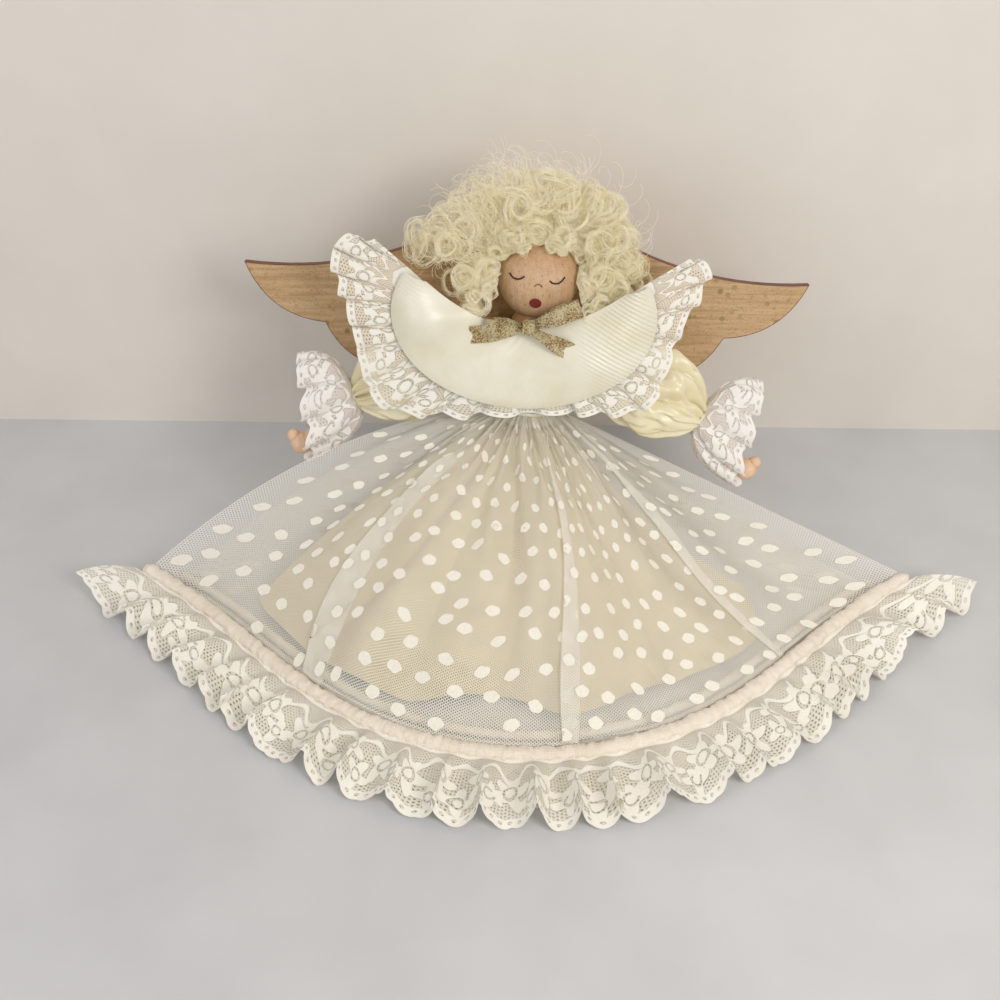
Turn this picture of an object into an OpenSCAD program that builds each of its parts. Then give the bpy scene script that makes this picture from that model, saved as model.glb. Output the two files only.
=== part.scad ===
// Clothespin angel doll: a slotted wooden clothespin with a ball head, flat wooden
// wings, a satin and a lace collar, wire arms in satin sleeves, and a dotted net
// skirt spread over a petticoat. Millimetres, +Z up, the doll faces -Y.

/* [Clothespin] */
// Length from the feet to the seat of the head
peg_len = 81; // [79:0.5:84]
// Diameter of the shaft
peg_d = 15; // [14:0.5:16]
// Diameter of the two feet together
foot_d = 12.6; // [11:0.2:13]
// Width of the slot between the legs
slot_w = 4.5; // [3:0.5:6]
// Height of the slot above the feet
slot_h = 44; // [30:1:48]
// Lean of the doll back from upright, in degrees
lean = 15; // [13:0.5:17]
// Roll of the doll toward +X, in degrees
roll = 3; // [1:0.5:4]

/* [Head and hair] */
// Diameter of the ball
head_d = 25; // [23:0.5:26]
// Diameter of the flat on the ball that sits on the clothespin
seat_d = 11.8; // [10.5:0.1:12]
// Diameter of the dowel on top of the clothespin
dowel_d = 8.8; // [6:0.2:9]
// Length of the dowel
dowel_l = 8; // [5:0.5:10]
// Reach of the curls to each side
hair_reach = 42; // [38:1:46]
// Height of the curls above the centre of the head
hair_top = 33; // [28:1:36]
// Radius of the large side curls
curl_r = 10; // [8:0.5:11]

/* [Wings] */
// Span from tip to tip
wing_span = 182; // [170:1:200]
// Thickness of the board
wing_t = 3.2; // [2.5:0.1:4]
// Height of the wing tips above the seat of the head
wing_tip_rise = 10; // [7:0.5:13]
// Depth of the wings below their tips
wing_depth = 43; // [40:0.5:46]

/* [Collars] */
// Half width of the satin collar
satin_w = 40.5; // [36:0.5:44]
// Drop of the satin collar below its centre
satin_drop = 29; // [26:0.5:32]
// Half width of the lace collar
lace_w = 57; // [53:0.5:60]
// Drop of the lace collar below its centre
lace_drop = 34; // [31:0.5:36]
// Height of the collars' ruffles
collar_wave = 2.4; // [1:0.2:4]

/* [Ribbon bow] */
// Width of the gold ribbon
ribbon_w = 6; // [4:0.5:7]
// Length of each loop
loop_l = 14; // [10:0.5:16]
// Length of each tail
tail_l = 15; // [10:0.5:18]
// Diameter of the knot
knot_d = 5.6; // [5:0.2:6.4]

/* [Arms] */
// Drop of the shoulders below the seat of the head
shoulder_drop = 9; // [8:0.5:10]
// Length from shoulder to wrist
arm_l = 54; // [50:0.5:56]
// Drop of the arms below level, in degrees
arm_drop = 25; // [22:0.5:28]
// Diameter of the arm wire
wire_d = 2; // [1.6:0.1:2.4]
// Half height of a sleeve at its fullest
sleeve_r = 15.5; // [13:0.5:16]
// Half depth of a sleeve, front to back
sleeve_depth = 10.4; // [9:0.2:10.6]
// Half height of the cuff at its edge
cuff_r = 16; // [13:0.5:18]
// Length of the cuff along the arm
cuff_l = 15; // [12:0.5:18]
// Diameter of a hand
hand_d = 6.6; // [6:0.2:8]

/* [Skirt] */
// Drop of the waist below the seat of the head
waist_drop = 32; // [31:0.5:34]
// Reach of the overskirt's hem from the waist at the front
skirt_r = 103; // [98:1:110]
// Extra reach of the hem at the side seams
tip_reach = 28; // [20:1:32]
// Half angle of the skirt's fan, in degrees
spread = 76; // [70:1:80]
// Lift of the skirt's fuller left side
puff = 13.5; // [8:0.5:14]
// Height of the skirt's folds
fold_h = 3; // [1:0.2:4]
// Reach of the petticoat's hem from the waist
petticoat_r = 89; // [82:1:90]
// Reach of the skirts behind the waist
back_reach = 72; // [66:1:84]
// Thickness of the cloth
cloth_t = 0.5; // [0.4:0.05:0.6]

/* [Hem] */
// Diameter of the front hem cord
front_cord_d = 4.6; // [3.6:0.1:5]
// Diameter of the back hem cord
back_cord_d = 3; // [2.4:0.1:3.2]
// Width of the hem lace
lace_l = 22; // [18:0.5:26]
// Length of hem from one lace ruffle to the next
ruffle_pitch = 13; // [11:0.5:18]
// Height of the lace ruffles
ruffle_h = 6; // [3:0.5:8]

/* [Hidden] */
$fn = 48;
LEFT = -1;
RIGHT = 1;

// Gap between pieces that lie on each other
gap = 0.3;
// Radial clearance of the dowel in the head
dowel_fit = 0.05;
// Room at the bottom of the head's hole
dowel_room = 0.4;
peg_r = peg_d / 2;
foot_r = foot_d / 2;
head_r = head_d / 2;
seat_r = seat_d / 2;
head_h = peg_len + sqrt(head_r * head_r - seat_r * seat_r);
shoulder_h = peg_len - shoulder_drop;
waist_h = peg_len - waist_drop;
wing_tip_h = peg_len + wing_tip_rise;

// The back panels of both skirts lie under the feet
under_feet = 2 * cloth_t + 2 * gap;
foot_z = under_feet + foot_r * (sin(lean) + sin(roll));

// Neck: the ribbon goes round the shaft below the head
neck_top = peg_len - 1;
ribbon_t = 0.6;
ribbon_ir = peg_r + 0.1;
ribbon_or = ribbon_ir + ribbon_t;

// Bodice: a close cloth tube that narrows toward the shoulders
bodice_ir = peg_r + gap / 2;
bodice_or = bodice_ir + 1.4;
bodice_top_or = bodice_ir + cloth_t;
bodice_low = waist_h - 6;
bodice_full = waist_h + 8;
bodice_top = shoulder_h - 6;

// Arms swing between the collars in front and the wings behind
shoulder_x = peg_r + wire_d * 0.65 + gap;
arm_y = -1.2;
arm_front = arm_y - sleeve_depth;
collar_y = arm_front - 1.2;
wing_y = max(arm_y + sleeve_depth, bodice_or) + 0.9;
wrist_bend = 21;
hand_reach = 25.5;

function lerp(a, b, t) = a + (b - a) * t;
function bezier(a, c, b, t) = (1 - t) * (1 - t) * a + 2 * t * (1 - t) * c + t * t * b;
function unit(v) = v / norm(v);
function span(low, high, n) = [for (i = [0 : n]) lerp(low, high, i / n)];
function bump(x, centre, width) = exp(-pow((x - centre) / width, 2));

// A point of the upright doll, leaned and rolled as it sits
function peg_point(p) =
  let (x = p[0] * cos(roll) + p[2] * sin(roll), z = p[2] * cos(roll) - p[0] * sin(roll))
  [x, p[1] * cos(lean) + z * sin(lean), foot_z - p[1] * sin(lean) + z * cos(lean)];

waist = peg_point([0, 0, waist_h]);

// A point at an angle from the front and a reach from the waist
function fan_point(angle, reach, z) =
  [waist[0] + reach * sin(angle), waist[1] - reach * cos(angle), z];

// A surface's unit normal, and the surface moved along it
function normal(f, u, v, e = 0.004) =
  unit(cross(f(u + e, v) - f(u - e, v), f(u, v + e) - f(u, v - e)));
function grid(f, us, vs) = [for (u = us) [for (v = vs) f(u, v)]];
function moved(f, d) = function (u, v) f(u, v) + d * normal(f, u, v);

module on_peg() {
  translate([0, 0, foot_z]) rotate([-lean, 0, 0]) rotate([0, roll, 0]) children();
}

// Two grids of points skinned into one closed sheet of triangles
module skin(top, under, ring = false) {
  rows = len(top);
  cols = len(top[0]);
  last = rows - (ring ? 1 : 2);
  edge = cols - 1;
  function id(side, i, j) = side * rows * cols + (i % rows) * cols + j;
  walls = [for (i = [0 : last], j = [0 : edge - 1]) each [
    [id(0, i, j), id(0, i, j + 1), id(0, i + 1, j + 1)],
    [id(0, i, j), id(0, i + 1, j + 1), id(0, i + 1, j)],
    [id(1, i, j), id(1, i + 1, j + 1), id(1, i, j + 1)],
    [id(1, i, j), id(1, i + 1, j), id(1, i + 1, j + 1)]
  ]];
  rims = [for (i = [0 : last]) each [
    [id(0, i, 0), id(0, i + 1, 0), id(1, i + 1, 0)],
    [id(0, i, 0), id(1, i + 1, 0), id(1, i, 0)],
    [id(0, i + 1, edge), id(0, i, edge), id(1, i, edge)],
    [id(0, i + 1, edge), id(1, i, edge), id(1, i + 1, edge)]
  ]];
  n = rows - 1;
  sides = ring ? [] : [for (j = [0 : edge - 1]) each [
    [id(0, 0, j + 1), id(0, 0, j), id(1, 0, j)],
    [id(0, 0, j + 1), id(1, 0, j), id(1, 0, j + 1)],
    [id(0, n, j), id(0, n, j + 1), id(1, n, j + 1)],
    [id(0, n, j), id(1, n, j + 1), id(1, n, j)]
  ]];
  polyhedron([for (g = [top, under], row = g) each row], concat(walls, rims, sides));
}

// A cloth sheet that lies on the surface f, on the side away from its normal
module cloth(f, us, vs, t = cloth_t) {
  skin(grid(f, us, vs), grid(moved(f, -t), us, vs));
}

// A round cord of six sides along a path
module cord(path, us, r) {
  sides = 6;
  e = 0.004;
  function ring_at(u) =
    let (along = unit(path(u + e) - path(u - e)), across = unit(cross(along, [0, 0, 1])))
    let (high = cross(across, along))
    [for (k = [0 : sides - 1]) path(u) + r * (cos(60 * k) * across + sin(60 * k) * high)];
  rings = [for (u = us) ring_at(u)];
  n = len(us) - 1;
  function id(i, k) = i * sides + k % sides;
  walls = [for (i = [0 : n - 1], k = [0 : sides - 1]) each [
    [id(i, k), id(i, k + 1), id(i + 1, k + 1)],
    [id(i, k), id(i + 1, k + 1), id(i + 1, k)]
  ]];
  ends = [for (k = [1 : sides - 2]) each [
    [id(0, 0), id(0, k + 1), id(0, k)],
    [id(n, 0), id(n, k), id(n, k + 1)]
  ]];
  polyhedron([for (row = rings) each row], concat(walls, ends));
}

// The skirt fans out to the front: q runs from -1 at the left seam to 1 at the right
panel_in = front_cord_d / 2 + gap;
hem_z = front_cord_d / 2 + cloth_t + gap;
back_inset = (front_cord_d + back_cord_d) / 2 + 4;
tip_rise = 4;
function hem_reach(q) = skirt_r + tip_reach * pow(abs(q), 6);
// How much longer a step in from the hem is along the fan than square to it
function slant(q) =
  norm([1, 6 * tip_reach * pow(abs(q), 5) / (spread * PI / 180 * hem_reach(q))]);
function hem_height(q) = hem_z + tip_rise * pow(abs(q), 6);
// The wider the fan, the flatter the puff
full_spread = 76;
function skirt_lift(q) = puff * pow(full_spread / spread, 2) * (1 - q) / 2;
function ring_point(angle, r, h) = peg_point([r * sin(angle), -r * cos(angle), h]);

// Three bold pleats and the small folds between them
pleats = [-0.53, 0.09, 0.68];
pleat_w = 0.11;
fold_n = 9;
function pleat_sum(q, i = 0) =
  i == len(pleats) ? 0 : bump(q, pleats[i], pleat_w) + pleat_sum(q, i + 1);
function folds(q, t) =
  fold_h * 4 * t * (1 - t) * (1 - pow(q, 8)) * (pleat_sum(q) + 0.4 * cos(180 * fold_n * q));

skirt_ring_r = bodice_or + gap;
// How close to the side seams the back panels keep up with them
seam_hold = 5;
function front_curve(q, t, ring_h, ring_r, hem, lift) =
  let (top = ring_point(90 * q, ring_r, ring_h))
  bezier(top, (top + hem) / 2 + [0, 0, 2 * lift], hem, t);
function back_curve(q, t, ring_h, ring_r, hem, lift, reach, low) =
  let (top = ring_point(180 - 90 * q, ring_r + cloth_t, ring_h))
  let (seam = (top + hem) / 2 + [0, 0, 2 * lift])
  let (behind = [waist[0], waist[1] + reach, -0.6 * waist[2]])
  let (p = bezier(top, lerp(behind, seam, pow(abs(q), seam_hold)), hem, t))
  [p[0], p[1], max(p[2], low)];

function overskirt_front_at(q, t) =
  let (hem = fan_point(spread * q, hem_reach(q) - panel_in * slant(q), hem_height(q)))
  front_curve(q, t, waist_h, skirt_ring_r, hem, skirt_lift(q)) + [0, 0, folds(q, t)];
function back_hem(q, z, inset) = fan_point(spread * q, hem_reach(q) - inset * slant(q), z);
back_panel_inset = back_inset + back_cord_d / 2 + gap;
seam_gap = 1.6;
function overskirt_back_at(q, t) =
  back_curve(q, t, waist_h - seam_gap, skirt_ring_r, back_hem(q, 0, back_panel_inset),
             skirt_lift(q) - seam_gap, back_reach, 0);

// The petticoat lies between the overskirt's two panels
petticoat_spread = spread - 11;
petticoat_wave = 4;
petticoat_h = waist_h - 4;
petticoat_floor = cloth_t + gap;
function petticoat_reach(q) = petticoat_r + petticoat_wave * cos(900 * q);
function petticoat_lift(q) = skirt_lift(q) - 7;
function petticoat_front_at(q, t) =
  let (hem_low = petticoat_floor + 2 * cloth_t + gap)
  let (hem = fan_point(petticoat_spread * q, petticoat_reach(q), hem_low))
  front_curve(q, t, petticoat_h, skirt_ring_r, hem, petticoat_lift(q));
function petticoat_back_at(q, t) =
  let (hem = fan_point(petticoat_spread * q, petticoat_r - 10, petticoat_floor))
  back_curve(q, t, petticoat_h - seam_gap, skirt_ring_r, hem,
             petticoat_lift(q) - seam_gap, back_reach - 12, petticoat_floor);

// Hem cords and hem lace lie on the table
lace_t = cloth_t;
front_cord_z = lace_t + gap + front_cord_d / 2;
function front_cord_at(q) =
  fan_point(spread * q, hem_reach(q), front_cord_z + tip_rise * pow(abs(q), 6));
function back_cord_at(q) = back_hem(q, back_cord_d * cos(30) / 2, back_inset);
hem_arc = 2 * spread * PI / 180 * (skirt_r + tip_reach / 7);
ruffles = round(hem_arc / ruffle_pitch);
front_lace_in = front_cord_d / 2 + gap;
function front_lace_at(q, s) =
  let (wave = 0.5 + 0.5 * cos(180 * ruffles * q), rise = tip_rise * pow(abs(q), 6) * (1 - s))
  fan_point(spread * q, hem_reach(q) + front_lace_in * slant(q) + lace_l * s,
            2 * lace_t + gap + rise + ruffle_h * wave * s * (2 - s));
back_lace_in = back_inset - back_cord_d / 2 - gap;
function back_lace_at(q, s) =
  fan_point(spread * q, hem_reach(q) - back_lace_in * slant(q) + lace_l * s, lace_t);

// Collars: q runs from horn to horn, s from the neck to the edge
horn = 115;
collar_centre = peg_len + 2;
satin_in_w = 30;
satin_in_rise = 13;
satin_swell = 2.4;
satin_gap = 2.2;
function satin_edge(q) =
  [satin_w * sin(horn * q), collar_y - satin_gap, collar_centre - satin_drop * cos(horn * q)];
function satin_neck(q) =
  [satin_in_w * q, lerp(-ribbon_or - gap - cloth_t, collar_y - satin_gap, pow(abs(q), 0.6)),
   neck_top - 0.5 + satin_in_rise * q * q];
satin_ribs = 20;
function satin_at(q, s) =
  lerp(satin_neck(q), satin_edge(q), s)
  - [0, satin_swell * sin(180 * s) + 0.25 * collar_wave * s * cos(180 * satin_ribs * q), 0];

lace_corner = 0.55;
function squared(x) = sign(x) * pow(abs(x), lace_corner);
function lace_edge(q) =
  [lace_w * squared(sin(horn * q)), collar_y, collar_centre - lace_drop * squared(cos(horn * q))];
function lace_neck(q) =
  [(satin_in_w - 4) * q, lerp(-ribbon_or - gap - cloth_t, collar_y, pow(abs(q), 0.6)),
   neck_top - 5 + satin_in_rise * q * q];
lace_ruffles = 11;
function lace_at(q, s) =
  lerp(lace_neck(q), lace_edge(q), s)
  - [0, collar_wave * pow(s, 4) * (0.5 + 0.5 * cos(180 * lace_ruffles * q)) * min(1, 3 * abs(q)), 0];

module peg_body() {
  taper_h = 40;
  edge = 1.2;
  flare = 3;
  shape = [
    [0, 0], [foot_r - edge, 0], [foot_r, edge], [peg_r, taper_h], [peg_r, neck_top - 1],
    [seat_r, peg_len], [dowel_d / 2, peg_len], [dowel_d / 2, peg_len + dowel_l],
    [0, peg_len + dowel_l]
  ];
  flare_shape = [
    [-slot_w / 2 - flare, -1], [slot_w / 2 + flare, -1], [slot_w / 2, slot_h / 4],
    [-slot_w / 2, slot_h / 4]
  ];
  color("burlywood") on_peg() difference() {
    rotate_extrude() polygon(shape);
    translate([-slot_w / 2, -peg_d, -1]) cube([slot_w, 2 * peg_d, slot_h - slot_w / 2 + 1]);
    translate([0, peg_d, slot_h - slot_w / 2]) rotate([90, 0, 0]) cylinder(d = slot_w, h = 2 * peg_d);
    translate([0, peg_d, 0]) rotate([90, 0, 0]) linear_extrude(2 * peg_d) polygon(flare_shape);
  }
}

module head_ball() {
  color("bisque") on_peg() difference() {
    translate([0, 0, head_h]) sphere(head_r);
    translate([0, 0, peg_len - head_r]) cylinder(r = head_r, h = head_r);
    translate([0, 0, peg_len - 1])
      cylinder(r = dowel_d / 2 + dowel_fit, h = dowel_l + dowel_room + 1);
  }
}

module hair_wig() {
  small_r = 0.75 * curl_r;
  low_h = head_h - 1;
  side_x = hair_reach - small_r;
  cap_r = head_r + 4.5;
  cap_shift = 3;
  face_drop = 2;
  face_room = 1.5;
  collar_room = 0.9;
  color("lemonchiffon") on_peg() difference() {
    intersection() {
      union() {
        translate([0, cap_shift, head_h + cap_shift]) sphere(cap_r);
        for (side = [LEFT, RIGHT]) {
          translate([side * side_x, 0, head_h + curl_r]) sphere(small_r);
          translate([side * (side_x - curl_r), 0, head_h + 0.9 * curl_r]) sphere(curl_r);
          translate([side * (side_x - 1.2 * curl_r), 0, head_h + hair_top - 1.6 * curl_r]) sphere(curl_r);
          translate([side * curl_r, 0, head_h + hair_top - 1.1 * curl_r]) sphere(curl_r);
          translate([side * (head_r + curl_r / 2), 0, low_h + small_r / 2]) sphere(small_r);
        }
        translate([0, 0, head_h + hair_top - curl_r]) sphere(curl_r);
      }
      translate([-2 * hair_reach, collar_y + collar_room, low_h - small_r / 2])
        cube([4 * hair_reach, wing_y - gap - collar_y - collar_room, 3 * hair_top]);
    }
    translate([0, 0, head_h]) sphere(head_r + gap);
    translate([0, -head_r, head_h - face_drop]) sphere(head_r + face_room);
  }
}

// Points on an arc from p to q, swelling to the right of the way by the share b
function arc_points(p, q, b, n = 8) =
  let (along = q - p, across = [along[1], -along[0]])
  [for (i = [1 : n]) p + along * i / n + across * b * 4 * i / n * (1 - i / n)];

module wings() {
  half = wing_span / 2;
  root = [0, head_h - head_r - wing_t];
  beside_head = [0.85 * head_r, head_h];
  crown = [0.3 * half, wing_tip_h + 0.28 * wing_depth];
  tip = [half, wing_tip_h];
  feather_1 = [0.72 * half, wing_tip_h - 0.44 * wing_depth];
  feather_2 = [0.46 * half, wing_tip_h - 0.79 * wing_depth];
  feather_3 = [0.2 * half, wing_tip_h - wing_depth];
  foot = [0, wing_tip_h - 0.77 * wing_depth];
  right = concat(
    [root, beside_head], arc_points(beside_head, crown, -0.1), arc_points(crown, tip, 0.07),
    arc_points(tip, feather_1, -0.16), arc_points(feather_1, feather_2, -0.16),
    arc_points(feather_2, feather_3, -0.18), arc_points(feather_3, foot, -0.1)
  );
  left = [for (i = [len(right) - 2 : -1 : 1]) [-right[i][0], right[i][1]]];
  color("peru") on_peg() translate([0, wing_y + wing_t, 0]) rotate([90, 0, 0])
    linear_extrude(wing_t) polygon(concat(right, left));
}

module bodice() {
  shape = [
    [bodice_ir, bodice_low], [bodice_or, bodice_low], [bodice_or, bodice_full],
    [bodice_top_or, bodice_top], [bodice_ir, bodice_top]
  ];
  color("ivory") on_peg() rotate_extrude() polygon(shape);
}

module satin_collar() {
  color("cornsilk") on_peg()
    cloth(function (q, s) satin_at(q, s), span(-1, 1, 40), span(0, 1, 3));
}

module lace_collar() {
  color("antiquewhite") on_peg()
    cloth(function (q, s) lace_at(q, s), span(-1, 1, 44), span(0, 1, 4));
}

module neck_ribbon() {
  color("darkgoldenrod") on_peg() difference() {
    translate([0, 0, neck_top - ribbon_w]) cylinder(r = ribbon_or, h = ribbon_w - 1);
    translate([0, 0, neck_top - 2 * ribbon_w]) cylinder(r = ribbon_ir, h = 3 * ribbon_w);
  }
}

// The bow lies on the satin collar under the chin
knot_r = knot_d / 2;
knot_y = -ribbon_or - 2 * gap - 2 * cloth_t - knot_r - 1.4;
knot_h = neck_top - 1.2;

module bow_knot() {
  color("goldenrod") on_peg() translate([0, knot_y, knot_h]) sphere(knot_r);
}

// A closed loop of ribbon seen on its edge
function loop_outline(l, d, n = 24) =
  [for (i = [0 : n - 1]) let (a = 360 * i / n) [l * (1 - cos(a)) / 2, d * sin(a) * sin(a / 2) / 2]];

module bow_loop(side) {
  loop_d = 7;
  turn = 35;
  color("goldenrod") on_peg() translate([0, knot_y - 1.6, knot_h]) mirror([side < 0 ? 1 : 0, 0, 0])
    rotate([0, -turn, 0]) translate([knot_r + gap, 0, -ribbon_w / 2])
      linear_extrude(ribbon_w) difference() {
        polygon(loop_outline(loop_l, loop_d));
        translate([1.5 * ribbon_t, 0]) polygon(loop_outline(loop_l - 2.5 * ribbon_t, loop_d - 2 * ribbon_t));
      }
}

module bow_tail(side) {
  turn = 50;
  slope = 17;
  wave = 0.9;
  steps = 10;
  function edge_at(i, y) = [tail_l * i / steps, y - wave * sin(360 * i / steps)];
  shape = concat([for (i = [0 : steps]) edge_at(i, 0)], [for (i = [steps : -1 : 0]) edge_at(i, -ribbon_t)]);
  over = side * (ribbon_t + gap) / 2;
  color("goldenrod") on_peg() translate([0, knot_y - 1.6 - over, knot_h]) mirror([side < 0 ? 1 : 0, 0, 0])
    rotate([0, turn, 0]) rotate([0, 0, -slope]) translate([knot_r + 2 * gap, 0, -ribbon_w / 2])
      difference() {
        linear_extrude(ribbon_w) polygon(shape);
        translate([tail_l, -ribbon_w, 0]) rotate([0, -40, 0]) cube([tail_l, 2 * ribbon_w, 2 * ribbon_w]);
      }
}

module waist_tie() {
  tie_r = 0.7;
  color("ivory") on_peg() translate([0, 0, waist_h + tie_r + 2 * gap])
    rotate_extrude() translate([bodice_or + gap + tie_r, 0]) circle(tie_r);
}

module petticoat_front() {
  color("wheat") cloth(function (q, t) petticoat_front_at(q, t), span(-1, 1, 30), span(0, 1, 4));
}

module petticoat_back() {
  color("wheat") cloth(function (q, t) petticoat_back_at(q, t), span(-1, 1, 20), span(0, 1, 9));
}

module overskirt_front() {
  color("white", 0.5)
    cloth(function (q, t) overskirt_front_at(q, t), span(-1, 1, 48), span(0, 1, 5));
}

module overskirt_back() {
  color("white", 0.5)
    cloth(function (q, t) overskirt_back_at(q, t), span(-1, 1, 24), span(0, 1, 9));
}

module hem_cord_front() {
  color("peachpuff") cord(function (q) front_cord_at(q), span(-1, 1, 60), front_cord_d / 2);
}

module hem_cord_back() {
  color("peachpuff") cord(function (q) back_cord_at(q), span(-1, 1, 40), back_cord_d / 2);
}

module hem_lace_front() {
  color("antiquewhite")
    cloth(function (q, s) front_lace_at(q, s), span(-1, 1, 4 * ruffles), [0, 0.4, 1], lace_t);
}

module hem_lace_back() {
  color("antiquewhite")
    cloth(function (q, s) back_lace_at(q, s), span(-1, 1, 40), [0, 1], lace_t);
}

// Arm frame: +X runs down the arm from the shoulder, +Z is the arm's upper side
module on_arm(side) {
  on_peg() mirror([side < 0 ? 1 : 0, 0, 0]) translate([shoulder_x, arm_y, shoulder_h])
    rotate([0, arm_drop, 0]) children();
}

// Past the wrist the hand hangs down a little from the arm
module at_wrist() {
  translate([arm_l, 0, 0]) rotate([0, wrist_bend, 0]) children();
}

// The wire starts close beside the clothespin
wire_back = 1;
module arm_wire(side) {
  color("gray") on_arm(side) translate([-wire_back, 0, 0]) rotate([0, 90, 0])
    cylinder(d = wire_d, h = arm_l + wire_back);
}

// Sleeve: x is the way down the arm, from the armhole at 0 to the wrist at 1
sleeve_start = 3;
sleeve_end_gap = 2;
sleeve_folds = 7;
armhole_r = 5.5;
wrist_r = 3.4;
function sleeve_swell(x) = pow(sin(180 * pow(x, 1.6)), 0.8);
function sleeve_at(angle, x) =
  let (crease = 1 - 0.1 * (0.5 + 0.5 * cos(sleeve_folds * angle)) * x)
  let (base = lerp(armhole_r, wrist_r, x))
  let (high = crease * (base + (sleeve_r - base) * sleeve_swell(x)))
  let (deep = crease * (base + (sleeve_depth - base) * sleeve_swell(x)))
  [lerp(sleeve_start, arm_l - sleeve_end_gap, x), deep * cos(angle), high * sin(angle)];

module sleeve(side) {
  around = 21;
  along = 8;
  bore_r = wire_d / 2 + gap;
  turns = [for (i = [0 : around - 1]) 360 * i / around];
  steps = span(0, 1, along);
  outer = [for (a = turns) [for (x = steps) sleeve_at(a, x)]];
  bore = [for (a = turns) [for (x = steps) [sleeve_at(a, x)[0], bore_r * cos(a), bore_r * sin(a)]]];
  color("khaki") on_arm(side) skin(outer, bore, ring = true);
}

// Cuff: a gathered trumpet of lace at the wrist, wider above than below
cuff_ruffles = 9;
cuff_wave = 1.8;
cuff_in_r = wire_d / 2 + 4 * gap;
function cuff_at(angle, s) =
  let (ruffle = cuff_wave * s * cos(cuff_ruffles * angle))
  let (high = lerp(cuff_in_r, cuff_r + 3 * sin(angle), s) + ruffle)
  let (deep = lerp(cuff_in_r, sleeve_depth - cuff_wave - 0.4, s) + ruffle)
  [arm_l + gap + s * (cuff_l - 5 * sin(angle)), deep * cos(angle), high * sin(angle)];

module cuff(side) {
  around = 4 * cuff_ruffles;
  turns = [for (i = [0 : around - 1]) 360 * i / around];
  steps = [0, 0.5, 1];
  front = [for (a = turns) [for (s = steps) cuff_at(a, s) + [lace_t, 0, 0]]];
  back = [for (a = turns) [for (s = steps) cuff_at(a, s)]];
  color("antiquewhite") on_arm(side) skin(back, front, ring = true);
}

// Hand: a mitten with its thumb up, on a thin wrist
hand_r = hand_d / 2;
module hand(side) {
  thumb_r = 0.6 * hand_r;
  wrist_d = 1.2 * wire_d;
  wrist_start = gap + wrist_d / 2 * tan(wrist_bend);
  color("peachpuff") on_arm(side) at_wrist() {
    translate([wrist_start, 0, 0]) rotate([0, 90, 0])
      cylinder(d = wrist_d, h = hand_reach - wrist_start);
    translate([hand_reach, 0, 0]) sphere(hand_r);
    translate([hand_reach, 0, hand_r]) sphere(thumb_r);
  }
}

peg_body();
head_ball();
hair_wig();
wings();
bodice();
satin_collar();
lace_collar();
neck_ribbon();
bow_knot();
bow_loop(LEFT);  // bow_loop_left
bow_loop(RIGHT);  // bow_loop_right
bow_tail(LEFT);  // bow_tail_left
bow_tail(RIGHT);  // bow_tail_right
waist_tie();
petticoat_front();
petticoat_back();
overskirt_front();
overskirt_back();
hem_cord_front();
hem_cord_back();
hem_lace_front();
hem_lace_back();
arm_wire(LEFT);  // arm_wire_left
arm_wire(RIGHT);  // arm_wire_right
sleeve(LEFT);  // sleeve_left
sleeve(RIGHT);  // sleeve_right
cuff(LEFT);  // cuff_left
cuff(RIGHT);  // cuff_right
hand(LEFT);  // hand_left
hand(RIGHT);  // hand_right
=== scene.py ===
"""Clothespin angel doll: wood, satin, lace and dotted net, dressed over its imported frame.

Sizes are in millimetres in the doll's own frame, and a mesh is written in metres.
"""

import bisect
import logging
import math
import random
from dataclasses import dataclass, field
from enum import Enum
from typing import Callable

import bmesh
import bpy
from mathutils import Matrix, Vector, noise


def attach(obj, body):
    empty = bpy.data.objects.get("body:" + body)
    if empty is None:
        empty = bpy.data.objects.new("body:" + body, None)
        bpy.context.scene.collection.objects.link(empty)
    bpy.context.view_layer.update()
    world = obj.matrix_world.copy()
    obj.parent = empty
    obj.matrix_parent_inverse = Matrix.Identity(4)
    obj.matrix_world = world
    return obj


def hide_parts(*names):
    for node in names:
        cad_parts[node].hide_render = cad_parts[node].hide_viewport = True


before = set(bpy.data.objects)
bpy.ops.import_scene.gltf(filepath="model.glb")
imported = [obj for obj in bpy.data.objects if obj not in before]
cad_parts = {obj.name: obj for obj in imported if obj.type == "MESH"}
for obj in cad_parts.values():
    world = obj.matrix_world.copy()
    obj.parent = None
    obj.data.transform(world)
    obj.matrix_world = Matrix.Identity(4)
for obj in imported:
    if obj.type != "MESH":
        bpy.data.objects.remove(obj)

LOG = logging.getLogger("doll")
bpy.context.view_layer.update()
MM = 0.001
Surface = Callable[[float, float], Vector]
Colour = tuple[float, float, float]
Triple = tuple[float, float, float]
Value = float | Vector
Socket = bpy.types.NodeSocket


class Side(Enum):
    """The doll's two sides as the viewer sees them."""

    LEFT = -1
    RIGHT = 1

    @property
    def word(self) -> str:
        """The side's name in node and body names."""
        return self.name.lower()


def lerp(a: Value, b: Value, t: float) -> Value:
    """Blend from a to b by the share t, for numbers and vectors alike."""
    return a + (b - a) * t


def smooth_step(low: float, high: float, x: float) -> float:
    """Rise smoothly from 0 at low to 1 at high."""
    t = min(1.0, max(0.0, (x - low) / (high - low)))
    return t * t * (3 - 2 * t)


def bump(x: float, centre: float, width: float) -> float:
    """A bell of height 1 around centre."""
    return math.exp(-(((x - centre) / width) ** 2))


def wobble(x: float, y: float, seed: float = 0.0) -> float:
    """Smooth noise from -1 to 1, the same on each run."""
    return noise.noise(Vector((x, y, seed)))


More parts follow.
